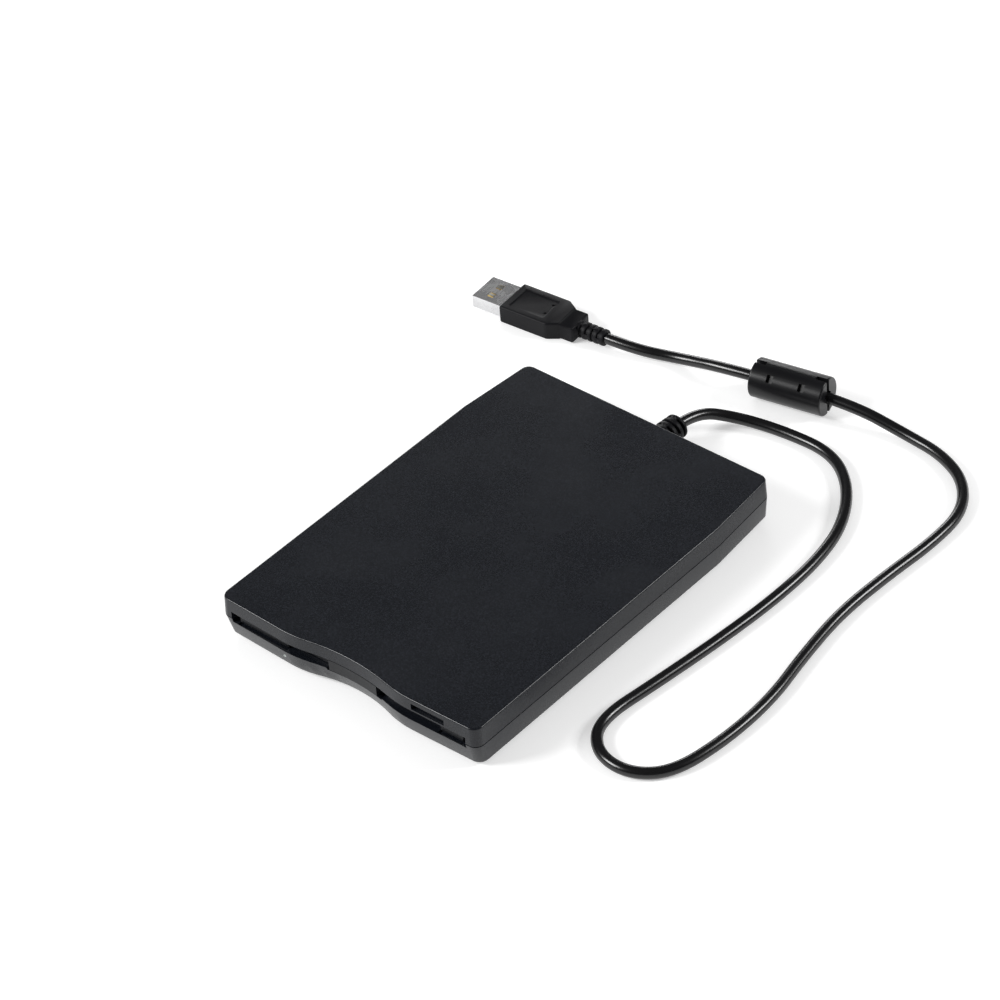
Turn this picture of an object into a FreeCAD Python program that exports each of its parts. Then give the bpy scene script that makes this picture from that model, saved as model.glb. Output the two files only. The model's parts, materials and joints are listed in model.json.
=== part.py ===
import FreeCAD, Part
import math
import os

V = FreeCAD.Vector
OUT_DIR = "parts"

# ---------------------------------------------------------------- case (mm)
# origin: floor level under the middle of the case, slot side towards -Y
FOOT_H = 1.2            # rubber foot under the case
CASE_TOP = 16.6
CASE_HALF_D = 71.5
CASE_HALF_W = 51.5      # at the parting line
FRONT_Y = -CASE_HALF_D
FRONT_OUT = FRONT_Y - 8.5       # cuts through the front wall run from here
FRONT_BACK = FRONT_Y + 11.5     # to here
WALL = 1.6
SKIN = 1.1              # top and bottom skins
PART_Z = 9.65           # middle of the parting groove
GROOVE = 0.3
TAPER_L = 28.5          # rear length over which the sides narrow
SIDE_TAPER = 2.2
TAPER_Y = CASE_HALF_D - TAPER_L
REAR_HALF_W = CASE_HALF_W - SIDE_TAPER
TONGUE = 0.7
TONGUE_H = 1.0
TOP_EDGE = 0.55         # round of the top edge
TOP_EDGE_MID = 0.16     # how far that round stands back halfway
LOW_EDGE = 0.9          # chamfer round the bottom
TOP_DRAFT = 0.2         # lean of the walls above the groove
LOW_DRAFT = 0.6         # and below it
LOW_SETBACK = 1.8       # how far the front falls back at the bottom
SCOOP = 2.6             # hollow of the front between its two lobes
SCOOP_X = 25.0
SCOOP_BEND_X = 16.0
LOW_SCOOP = 3.5
LOW_SCOOP_X = 24.0
LOW_BEND_X = 14.0

# outlines: half width, rear half width, lobe y, rear y, scoop depth, lobe x, bend x
LVL_PART = dict(w=CASE_HALF_W, wr=REAR_HALF_W, lobe=FRONT_Y, rear=CASE_HALF_D,
                scoop=SCOOP, lx=SCOOP_X, bx=SCOOP_BEND_X)
LVL_TOP = dict(w=CASE_HALF_W - TOP_DRAFT, wr=REAR_HALF_W - TOP_DRAFT, lobe=FRONT_Y + TOP_DRAFT,
               rear=CASE_HALF_D - TOP_DRAFT, scoop=SCOOP, lx=SCOOP_X, bx=SCOOP_BEND_X)
LVL_LOW = dict(w=CASE_HALF_W - LOW_DRAFT, wr=REAR_HALF_W - LOW_DRAFT, lobe=FRONT_Y + LOW_SETBACK,
               rear=CASE_HALF_D - TOP_DRAFT, scoop=LOW_SCOOP, lx=LOW_SCOOP_X, bx=LOW_BEND_X)
CORNER_R = 3.2
CORNER_RISE = 0.7       # the front falls back a little towards its corners
REAR_R = 2.8
REAR_CUT = 1.2          # cut corner of the room inside that round
TOP_EDGE_Z = CASE_TOP - TOP_EDGE
LOW_EDGE_Z = FOOT_H + LOW_EDGE
FOOT_R = 4.0
FOOT_SEAT = 0.3
FOOT_FRONT = (CASE_HALF_W - 10.5, FRONT_Y + 14.5)
FOOT_REAR = (REAR_HALF_W - 10.3, CASE_HALF_D - 13.5)
REAR_BOSS_X = REAR_HALF_W - 6.3     # the two case screws stand behind the drive
REAR_BOSS_Y = CASE_HALF_D - 9.0
REAR_BOSS_Z = 4.3       # where the two halves' bosses meet
BOSS_R = 3.4
BOSS_TOP_R = 2.8
SCREW_HEAD_R = 2.0
SCREW_HEAD_T = 0.9
SCREW_CROSS = 1.1
SCREW_CROSS_W = 0.22
SCREW_CROSS_T = 0.45
CASE_SCREW_R = 0.8
CASE_SCREW_TOP = 12.0
DRIVE_SCREW_R = 1.0
DRIVE_SCREW_Y = (-38.0, 25.0)
RIB_HALF_W = 30.0       # stiffening rib under the cover's rear
RIB_Y = CASE_HALF_D - 13.5
RIB_T = 1.0
RIB_H = 1.5

# ---------------------------------------------------------------- disk slot
DISK_FRONT = FRONT_Y + 5.5  # front edge of a loaded disk
DISK_LOADED_Z = 6.1         # underside of a loaded disk
SLOT_HALF_W = CASE_HALF_W - 4.5
SLOT_LOW = 7.95
SLOT_HIGH = 12.15
FINGER_X = 1.3              # middle of the finger notch and of the flap's tab
NOTCH_HALF_W = 11.2         # finger notch in the lower lip
NOTCH_DEPTH = 0.95
NOTCH_BACK = FRONT_Y + 5.3
FRONT_IN_MID = FRONT_Y + 3.55   # inner face of the front wall behind the scoop
FRONT_IN_END = FRONT_Y + 3.1    # and behind the two ends
FRONT_MID_HALF_W = SCOOP_X - 2.8
LOW_IN_MID = FRONT_Y + 6.8
LOW_IN_END = FRONT_Y + 4.3
LOW_MID_HALF_W = LOW_SCOOP_X - 7.0
FIT = 0.2                   # play round a sliding piece

# ---------------------------------------------------------------- flap
FLAP_Y = FRONT_Y + 4.55
FLAP_Z = 13.7
FLAP_ROD_R = 0.5
FLAP_SLEEVE_R = 0.8
FLAP_T = 0.6
FLAP_HALF_W = SLOT_HALF_W - 2.2
FLAP_LOW = SLOT_LOW + 0.25
FLAP_PAD_TOP = SLOT_HIGH - 0.1
FLAP_PAD_FRONT = FRONT_Y + 2.2
FLAP_PAD_LEFT = CASE_HALF_W - 26.5      # inner ends of the two pads
FLAP_PAD_RIGHT = CASE_HALF_W - 15.5
FLAP_TAB_HALF_W = 9.7
FLAP_TROUGH = 0.5           # room for the pads to swing past the lower lip
FLAP_TROUGH_FRONT = FRONT_Y + 1.2
FLAP_LUG_IN = FLAP_HALF_W + 0.3
FLAP_LUG_T = 1.2
FLAP_LUG_R = 1.2
FLAP_SPRING_HALF_L = 3.0
FLAP_SPRING_R = 0.7
FLAP_SPRING_WIRE_R = 0.14

# ---------------------------------------------------------------- eject button
BUTTON_X0 = CASE_HALF_W - 24.8
BUTTON_X1 = CASE_HALF_W - 12.7
BUTTON_Z0 = SLOT_HIGH + 0.75
BUTTON_Z1 = 14.65
BUTTON_FRONT = FRONT_Y + 1.6
BUTTON_BACK = BUTTON_FRONT + 1.3
STEM_X0 = BUTTON_X0 + 3.5
STEM_X1 = STEM_X0 + 5.0
STEM_Z0 = FLAP_Z + FLAP_ROD_R + 0.1     # the stem runs over the flap's rod
STEM_HOOK = 5.0
BUTTON_EDGE = 0.25

# ---------------------------------------------------------------- drive frame
CH_HALF_W = CASE_HALF_W - 3.5
CH_FRONT = FRONT_Y + 10.1
CH_REAR = CASE_HALF_D - 17.5
CH_Z = 2.6
SHEET = 0.8
CH_FLOOR = CH_Z + SHEET
CH_WALL_TOP = 13.3
SHIELD_Z = 14.9
SHIELD_T = 0.3
SHIELD_REAR_Y = CH_REAR - 23.0
SLIDE_TRAVEL = 4.5
HOLDER_DROP = 2.0
CAR_WINDOW = 17.0           # half width of the floor window under the heads
SHIELD_SCREW_X = CH_HALF_W - 2.4
SHIELD_SCREW_Y = CH_REAR - 2.4
SHIELD_SCREW_R = 0.7
SHIELD_HEAD_R = 1.5
SHIELD_HEAD_T = 0.25
DRIVE_SCREW_X = CH_HALF_W - 4.5

# ---------------------------------------------------------------- slide plate and disk holder
PLATE_Z = 13.6
PLATE_T = 0.6
PLATE_HALF_W = CH_HALF_W - 0.1
PLATE_FRONT = CH_FRONT + 6.0
PLATE_BAR = PLATE_FRONT + 6.4
PLATE_STRIP_IN = PLATE_HALF_W - 10.4
FLANGE_OUT = CH_HALF_W - SHEET - 0.4
FLANGE_IN = FLANGE_OUT - 0.6
FLANGE_LOW = 7.4
SPRING_REAR = CH_REAR - 8.1
SPRING_X = FLANGE_OUT - 2.8
SPRING_Z = 11.0
SPRING_COIL_R = 1.15
SPRING_WIRE_R = 0.25
SPRING_PITCH = 1.5
SPRING_L = 16.1
PLATE_REAR = SPRING_REAR - SPRING_L
HOLD_HALF_W = FLANGE_IN - 0.3
HOLD_T = 0.6
HOLD_FRONT = CH_FRONT + 0.6
HOLD_REAR = PLATE_REAR - 1.8
HOLD_TOP = 13.1
HOLD_LOW = 7.5
LIP_IN = HOLD_HALF_W - 3.9
PIN_R = 0.7
PIN_SLOT_R = 0.95
PIN_Y = (PLATE_FRONT + 13.4, PLATE_REAR - 15.8)
PIN_Z = 11.3

# ---------------------------------------------------------------- spindle
SPIN_Y = -19.0
SHAFT_R = 1.5
SHAFT_PLAY = 0.05
BEARING_R = 3.5
BEARING_TOP = 5.1
MOTOR_BOARD_T = 0.6
MOTOR_BOARD_R = 23.0
MOTOR_TAIL_HALF_W = 14.0
COIL_COUNT = 12
COIL_MID_R = 13.0
ROTOR_R = 21.0
ROTOR_LOW = 4.5
ROTOR_TOP = 5.8
ROTOR_SKIN = 0.5
ROTOR_RIM = 1.2
MAGNET_T = 1.2
HUB_R = 11.0
HUB_T = 0.6
CENTRE_PIN_R = 1.98
CENTRE_PIN_TOP = 7.6
DRIVE_PIN_R = 0.8
DRIVE_PIN_X = 7.6
DRIVE_PIN_TOP = 7.2

# ---------------------------------------------------------------- stepper and heads
STEP_R = 4.8
STEP_REAR = CH_REAR - 1.0
STEP_L = 6.5
STEP_FRONT = STEP_REAR - STEP_L
SCREW_X = 6.0
SCREW_Z = 7.6
SCREW_R = 1.1
SCREW_LEAD = 3.75
SCREW_REAR = STEP_FRONT - 0.5
SCREW_L = 16.4
SCREW_FRONT = SCREW_REAR - SCREW_L
SCREW_TIP_R = 0.5
SCREW_TIP_L = 1.0
SCREW_NECK_R = 0.6
GROOVE_R = 0.7              # round tool that cuts the groove
GROOVE_OUT = 0.25           # how far the tool's centre lies outside the screw
CAR_REAR = STEP_FRONT - 1.1
CAR_L = 14.4
CAR_FRONT = CAR_REAR - CAR_L
TRACK0_Y = CAR_FRONT - 10.5
FOLLOWER_Y = CAR_REAR - 0.2
FOLLOWER_R = 0.25
FOLLOWER_IN = 0.12          # how deep the follower reaches into the groove
ROD_X = 13.0
ROD_R = 0.9
ROD_Z = 4.5
ROD_FRONT = 6.0
ROD_REAR = CH_REAR - 1.4
SLEEVE_R = 1.4
SLEEVE_PLAY = 0.05
BRIDGE_Z0 = 3.9
BRIDGE_Z1 = 5.8
ARM_PIVOT_Y = CAR_REAR + 1.6
ARM_PIVOT_Z = 10.2
ARM_PIVOT_R = 0.5
ARM_EARS_X = (-14.6, -5.4)
BLOCK_X0 = -15.8            # block at the back left that carries the arm's pivot
BLOCK_X1 = -4.2
BLOCK_FRONT = ARM_PIVOT_Y - 3.6
BLOCK_REAR = ARM_PIVOT_Y + 3.0
BLOCK_TOP = 9.1
EAR_T = 1.0
EAR_HALF_D = 1.3
LOW_ARM_HALF_W = 4.0
LOW_ARM_TOP = 5.9
HEAD_HALF_W = 1.8
HEAD_HALF_D = 1.6
HEAD_BASE = 0.4             # how much the head's seat stands out round it
LOWER_HEAD_TOP = 7.7
UPPER_HEAD_LOW = 7.85
KNUCKLE_R = 0.9
WING_Y0 = CAR_FRONT + 0.2   # tongue of the arm that the holder lifts
WING_Y1 = CAR_FRONT + 2.6
WING_X0 = 1.8
WING_X1 = 8.6
WING_Z0 = 11.4
WING_Z1 = 11.9
ARM_LIFT = 8.0              # degrees, held up while the drive is empty
ARM_Z0 = 9.9
ARM_Z1 = 10.4
ARM_TIP_Y = TRACK0_Y - 2.1
ARM_PLAN = ((-11.2, ARM_PIVOT_Y), (-11.2, ARM_PIVOT_Y - 9.0), (-3.2, ARM_TIP_Y), (3.2, ARM_TIP_Y),
            (4.4, ARM_PIVOT_Y - 20.0), (4.4, ARM_PIVOT_Y - 13.2), (-5.8, ARM_PIVOT_Y - 6.0),
            (-5.8, ARM_PIVOT_Y))
FLAG_X1 = 19.4
FLAG_Y0 = CAR_FRONT + 5.0
FLAG_Y1 = CAR_FRONT + 9.0
FLAG_Z0 = 5.5

# ---------------------------------------------------------------- shutter lever
LEVER_X = 18.0
LEVER_Y = HOLD_REAR + 10.2
LEVER_R = 24.0
LEVER_REST = -85.0
LEVER_SWING = 63.0
LEVER_Z = 13.4
LEVER_T = 0.6
LEVER_PIN_R = 1.0
LEVER_PIN_LOW = 8.7
LEVER_HALF_W = 1.9
LEVER_HUB_R = 3.2
LEVER_RIVET_R = 1.0
LEVER_RIVET_HEAD = 1.8
LEVER_TAB_X0 = 5.2          # the holder's tab also lifts the arm's tongue

# ---------------------------------------------------------------- switches
SWITCH_X = (8.5 - CH_HALF_W, 18.0 - CH_HALF_W, CH_HALF_W - 8.5)
SWITCH_Y = CH_FRONT + 5.4
SWITCH_SIDE = 4.0
SWITCH_TOP = 5.6
PLUNGER_R = 0.7
PLUNGER_TOP = 6.85
PLUNGER_TRAVEL = 0.8
SWITCH_BOARD_T = 0.6
SWITCH_BOARD_HALF_W = CH_HALF_W - 5.0
SWITCH_BOARD_FRONT = CH_FRONT + 0.8
SWITCH_BOARD_REAR = CH_FRONT + 10.4
MOTOR_TAIL_FRONT = SWITCH_BOARD_REAR + 2.0
LED_X = 25.5 - CASE_HALF_W
LED_Z = 5.4
LED_R = 0.6
LED_HALF_W = 1.5
LED_FRONT = CH_FRONT + 1.0
LED_REAR = CH_FRONT + 2.8
LIGHT_FRONT = FRONT_Y + 1.1

# ---------------------------------------------------------------- boards (x0, x1, y0, y1)
BOARD_T = 0.8
MAIN_BOARD = (5.8 - CH_HALF_W, -18.5, CH_REAR - 24.0, CH_REAR - 1.4)
MAIN_BOARD_Z = 4.6
USB_BOARD = (BOSS_TOP_R + FIT - REAR_BOSS_X, 12.0, CH_REAR + 2.4, CASE_HALF_D - 5.5)
USB_BOARD_Z = 4.6
HEADER_REAR = USB_BOARD[3] - 1.8
RIBBON_X0 = MAIN_BOARD[0] + 3.6
RIBBON_X1 = MAIN_BOARD[1] - 3.5
RIBBON_Y0 = MAIN_BOARD[3] - 2.2
RIBBON_Y1 = USB_BOARD[2] + 3.6
RIBBON_T = 0.3
RIBBON_LIFT = 1.0
SOCKET_H = 2.0
BOARD_HOLE_R = 0.9
BOARD_HEAD_R = 1.6
BOARD_HEAD_T = 0.6

# ---------------------------------------------------------------- cord
CORD_R = 1.9
RELIEF_X = 2.5
RELIEF_Z = 7.4
RELIEF_END = CASE_HALF_D + 12.0
RELIEF_R0 = 4.9
RELIEF_R1 = 4.2
RELIEF_IN = CASE_HALF_D - 3.2
RELIEF_NECK_R = 3.6
RELIEF_FLANGE = 4.2
RELIEF_CORE_R = 3.3
RELIEF_RINGS = 4
RELIEF_STEP = 2.5
RELIEF_GAP = 1.0
RELIEF_TIE = 1.1
WIRE_R = 0.45
WIRE_X = (-1.8, -0.6, 0.6, 1.8)
BEAD_R = 6.6
BEAD_HALF_L = 12.85
BEAD_BORE = 2.1
BEAD_EDGE = 0.7
BEAD_FROM = 20.2            # middle of the bead, along its run of the cord
BEAD_WINDOW_X = 5.6
BEAD_WINDOW_TURN = 46.0     # degrees from the top, to both sides
BEAD_SLOT_W = 1.6
BEAD_SLOT_L = 4.0
CORE_R = 4.9
CORE_HALF_L = 11.0
PLUG_HALF_W = 7.45
PLUG_NECK_HALF_W = 5.0
PLUG_HALF_T = 3.3
PLUG_NECK_HALF_T = 3.0
PLUG_Z = PLUG_HALF_T
PLUG_AZ = 185.0             # heading of the plug, degrees from +X
PLUG_EDGE = 0.6
PLUG_PANEL_IN = 2.3         # rim left round the grip's panel
PLUG_PANEL_FRONT = 2.5
PLUG_PANEL_T = 0.3
PLUG_DIMPLE_Y = 2.45
PLUG_DIMPLE_R = 0.55
TAIL_L = 10.3
TAIL_R0 = 2.8
TAIL_R1 = 3.0
TAIL_CORE_R = 2.3
TAIL_RINGS = 4
TAIL_FIRST = 1.4
TAIL_STEP = 2.3
TAIL_GAP = 1.0
TAIL_TIE = 0.8
PLUG_STEP_L = 15.2
PLUG_FULL_L = 19.3
PLUG_END_L = 38.0
SHELL_IN = 5.0              # how deep the metal shell sits in the grip
SHELL_OUT = 11.8
SHELL_HALF_W = 6.0
SHELL_HALF_T = 2.25
SHELL_T = 0.3
INSERT_BACK = 0.5
CONTACT_Y = (-3.5, -1.0, 1.0, 3.5)
CONTACT_HALF_W = 0.5
CONTACT_GROOVE = 0.25
CONTACT_T = 0.2
BEAD_RUN_START = (39.0, 125.26, BEAD_R)
BEAD_RUN_END = (-3.0, 116.86, BEAD_R)
CORD_POINTS = (
    (RELIEF_X, RELIEF_END, RELIEF_Z),
    (2.7, 93.0, 6.9),
    (11.3, 101.8, 3.2),
    (27.0, 106.2, CORD_R),
    (46.5, 106.6, CORD_R),
    (60.5, 96.5, CORD_R),
    (70.5, 80.0, CORD_R),
    (74.3, 61.5, CORD_R),
    (74.6, 40.0, CORD_R),
    (72.8, 17.0, CORD_R),
    (69.6, -9.0, CORD_R),
    (66.0, -33.5, CORD_R),
    (74.0, -44.4, CORD_R),
    (87.0, -46.2, CORD_R),
    (97.6, -38.0, CORD_R),
    (101.3, -18.0, CORD_R),
    (101.4, 4.0, CORD_R),
    (97.4, 25.0, CORD_R),
    (94.6, 47.0, CORD_R),
    (95.6, 70.0, CORD_R),
    (97.5, 90.0, CORD_R),
    (96.5, 107.0, CORD_R),
    (88.0, 119.5, CORD_R),
    (75.0, 126.0, CORD_R),
    (60.5, 127.6, CORD_R),
    BEAD_RUN_START,
    BEAD_RUN_END,
    (-23.8, 116.2, CORD_R),
    (-36.35, 110.35, PLUG_Z),
    (-48.3, 109.3, PLUG_Z),
)
ARC_SHARE = 0.45


# ---------------------------------------------------------------- helpers
def box(x0, x1, y0, y1, z0, z1):
    """Box between two corners."""
    return Part.makeBox(x1 - x0, y1 - y0, z1 - z0, V(x0, y0, z0))


def cyl(x, y, z0, z1, r):
    """Upright cylinder."""
    return Part.makeCylinder(r, z1 - z0, V(x, y, z0))


def cyl_x(x0, x1, y, z, r):
    """Cylinder along X."""
    return Part.makeCylinder(r, x1 - x0, V(x0, y, z), V(1, 0, 0))


def cyl_y(x, y0, y1, z, r):
    """Cylinder along Y."""
    return Part.makeCylinder(r, y1 - y0, V(x, y0, z), V(0, 1, 0))


def prism(points, z0, z1):
    """Upright prism over a closed polygon."""
    wire = Part.makePolygon([V(x, y, z0) for x, y in points] + [V(points[0][0], points[0][1], z0)])
    return Part.Face(wire).extrude(V(0, 0, z1 - z0))


def join(shapes):
    """Fuse a list of shapes into one clean solid."""
    out = shapes[0]
    if len(shapes) > 1:
        out = shapes[0].multiFuse(shapes[1:])
    return out.removeSplitter()


def cut(shape, tools):
    """Take a list of tools out of a shape."""
    out = shape
    for tool in tools:
        out = out.cut(tool)
    return out.removeSplitter()


def group(shapes):
    """Several separate solids in one node."""
    return Part.makeCompound([s for shape in shapes for s in shape.Solids])


def mirror_x(shape):
    """The same shape on the other side of the middle plane."""
    return shape.mirror(V(0, 0, 0), V(1, 0, 0))


def both(shape):
    """A shape and its mirror image."""
    return [shape, mirror_x(shape)]


def hull_slot_x(x0, x1, a, b, r):
    """Long slot along X whose end circles lie at a and b in the YZ plane."""
    length = math.hypot(b[0] - a[0], b[1] - a[1])
    bar = Part.makeBox(x1 - x0, length, 2 * r, V(x0, 0, -r))
    bar.rotate(V(0, 0, 0), V(1, 0, 0), math.degrees(math.atan2(b[1] - a[1], b[0] - a[0])))
    bar.translate(V(0, a[0], a[1]))
    return join([bar, cyl_x(x0, x1, a[0], a[1], r), cyl_x(x0, x1, b[0], b[1], r)])


def coil(base, direction, length, mean_r, wire_r, pitch):
    """Round-wire coil spring that starts at base and runs along direction."""
    path = Part.makeHelix(pitch, length - 2 * wire_r, mean_r)
    disc = Part.Wire([Part.makeCircle(wire_r, V(mean_r, 0, 0), V(0, 1, 0))])
    body = Part.Wire(path.Edges).makePipeShell([disc], True, True)
    body.translate(V(0, 0, wire_r))
    body.Placement = FreeCAD.Placement(base, FreeCAD.Rotation(V(0, 0, 1), direction)).multiply(body.Placement)
    return body


def save(name, shape):
    """Write one node."""
    shape.exportStep(os.path.join(OUT_DIR, name + ".step"))
    box_of = shape.BoundBox
    print("%-22s solids %2d vol %9.1f  x %.1f..%.1f y %.1f..%.1f z %.2f..%.2f %s" % (
        name, len(shape.Solids), shape.Volume, box_of.XMin, box_of.XMax, box_of.YMin, box_of.YMax,
        box_of.ZMin, box_of.ZMax, "" if shape.isValid() else "INVALID"))


# ---------------------------------------------------------------- case
def half_outline(lvl, inset):
    """Right half of the plan outline as (kind, points) steps, front to rear."""
    s = math.sin(math.radians(45.0))
    w = lvl["w"] - inset
    wr = lvl["wr"] - inset
    lobe = lvl["lobe"] + inset
    rear = lvl["rear"] - inset
    first = lvl["scoop"] * lvl["bx"] / lvl["lx"]
    rest = lvl["scoop"] - first
    mid_y = lobe + lvl["scoop"]
    bend = (lvl["bx"], mid_y - first)
    knee = ((lvl["bx"] + lvl["lx"]) / 2, lobe + rest / 4)
    r = CORNER_R - inset / 2
    front = lobe + CORNER_RISE
    c1 = (w - r, front + r)
    rr = REAR_R
    c2 = (wr - rr, rear - rr)
    return {
        "mid": (0.0, mid_y), "bend": bend, "knee": knee, "lobe": (lvl["lx"], lobe),
        "c_in": (w - r, front), "c_mid": (c1[0] + r * s, c1[1] - r * s), "c_out": (w, front + r),
        "taper": (w, TAPER_Y), "r_in": (wr, rear - rr), "r_mid": (c2[0] + rr * s, c2[1] + rr * s),
        "r_out": (wr - rr, rear),
    }


def outline(lvl, z, inset=0.0):
    """Closed plan outline of the case at one height."""
    h = half_outline(lvl, inset)

    def p(name, side=1):
        return V(side * h[name][0], h[name][1], z)

    def arc(a, m, b):
        return Part.Arc(a, m, b).toShape()

    edges = [arc(p("bend", -1), p("mid"), p("bend"))]
    edges.append(arc(p("bend"), p("knee"), p("lobe")))
    edges.append(Part.makeLine(p("lobe"), p("c_in")))
    edges.append(arc(p("c_in"), p("c_mid"), p("c_out")))
    edges.append(Part.makeLine(p("c_out"), p("taper")))
    edges.append(Part.makeLine(p("taper"), p("r_in")))
    edges.append(arc(p("r_in"), p("r_mid"), p("r_out")))
    edges.append(Part.makeLine(p("r_out"), p("r_out", -1)))
    edges.append(arc(p("r_out", -1), p("r_mid", -1), p("r_in", -1)))
    edges.append(Part.makeLine(p("r_in", -1), p("taper", -1)))
    edges.append(Part.makeLine(p("taper", -1), p("c_out", -1)))
    edges.append(arc(p("c_out", -1), p("c_mid", -1), p("c_in", -1)))
    edges.append(Part.makeLine(p("c_in", -1), p("lobe", -1)))
    edges.append(arc(p("lobe", -1), p("knee", -1), p("bend", -1)))
    return Part.Wire(edges)


def room(front_mid, mid_half_w, front_end, z0, z1, wall):
    """Space inside the case walls, with a stepped front."""
    w = CASE_HALF_W - wall
    wr = REAR_HALF_W - wall
    rear = CASE_HALF_D - wall
    half = [(mid_half_w, front_mid), (mid_half_w, front_end), (w - 1.0, front_end), (w, front_end + 1.0),
            (w, TAPER_Y), (wr, rear - REAR_CUT), (wr - REAR_CUT, rear)]
    points = half + [(-x, y) for x, y in reversed(half)]
    return prism(points, z0, z1)


def rear_boss_points():
    """Where the two case screws stand, behind the drive."""
    return [(-REAR_BOSS_X, REAR_BOSS_Y), (REAR_BOSS_X, REAR_BOSS_Y)]


def drive_screw_points():
    """Where the four screws hold the drive to the bottom case."""
    return [(side * DRIVE_SCREW_X, y) for y in DRIVE_SCREW_Y for side in (-1, 1)]


def tongue_ring(z0, z1, grow):
    """Ring of the tongue that stands on the lower wall, inside half of it."""
    outer = room(LOW_IN_MID, LOW_MID_HALF_W, LOW_IN_END, z0, z1, WALL - TONGUE - grow)
    inner = room(LOW_IN_MID, LOW_MID_HALF_W, LOW_IN_END, z0, z1, WALL)
    ring = outer.cut(inner)
    front = box(-CASE_HALF_W, CASE_HALF_W, FRONT_Y, FRONT_BACK, z0, z1)
    return ring.cut(front)


def make_top_cover():
    """Upper half of the case."""
    low = PART_Z + GROOVE / 2
    wall = Part.makeLoft([outline(LVL_PART, low), outline(LVL_TOP, TOP_EDGE_Z)], True, True)
    mid = outline(LVL_TOP, CASE_TOP - TOP_EDGE_MID, TOP_EDGE_MID)
    edge = Part.makeLoft([outline(LVL_TOP, TOP_EDGE_Z), mid], True, True)
    cap = Part.makeLoft([mid, outline(LVL_TOP, CASE_TOP, TOP_EDGE)], True, True)
    body = join([wall, edge, cap])
    inside = room(FRONT_IN_MID, FRONT_MID_HALF_W, FRONT_IN_END, low - 1.0, CASE_TOP - SKIN, WALL)
    slot = box(-SLOT_HALF_W, SLOT_HALF_W, FRONT_OUT, FRONT_BACK, low - 1.0, SLOT_HIGH)
    hole = box(BUTTON_X0 - FIT, BUTTON_X1 + FIT, FRONT_OUT, FRONT_BACK, BUTTON_Z0 - FIT, BUTTON_Z1 + FIT)
    groove = tongue_ring(low - 1.0, PART_Z - GROOVE / 2 + TONGUE_H + GROOVE, 0.1)
    body = cut(body, [inside, slot, hole, groove])
    roof = CASE_TOP - SKIN + 0.1
    adds = []
    for x, y in rear_boss_points():
        adds.append(cyl(x, y, REAR_BOSS_Z, roof, BOSS_TOP_R))
    for side in (-1, 1):
        x0 = min(side * FLAP_LUG_IN, side * (FLAP_LUG_IN + FLAP_LUG_T))
        lug = box(x0, x0 + FLAP_LUG_T, FRONT_IN_END - 0.1, FLAP_Y + FLAP_LUG_R, FLAP_Z - FLAP_LUG_R, roof)
        adds.append(lug)
    adds.append(box(-RIB_HALF_W, RIB_HALF_W, RIB_Y, RIB_Y + RIB_T, roof - RIB_H, roof))
    body = join([body] + adds)
    tools = [cyl(x, y, REAR_BOSS_Z - 0.1, CASE_SCREW_TOP + 1.0, CASE_SCREW_R) for x, y in rear_boss_points()]
    tools.append(cyl_x(-FLAP_LUG_IN - FLAP_LUG_T, FLAP_LUG_IN + FLAP_LUG_T, FLAP_Y, FLAP_Z, FLAP_ROD_R))
    tools.append(relief_hole())
    return cut(body, tools)


def relief_hole():
    """Round hole for the cord relief, half in each shell."""
    return cyl_y(RELIEF_X, CASE_HALF_D - 2 * WALL, CASE_HALF_D + 2 * WALL, RELIEF_Z, RELIEF_NECK_R)


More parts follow.
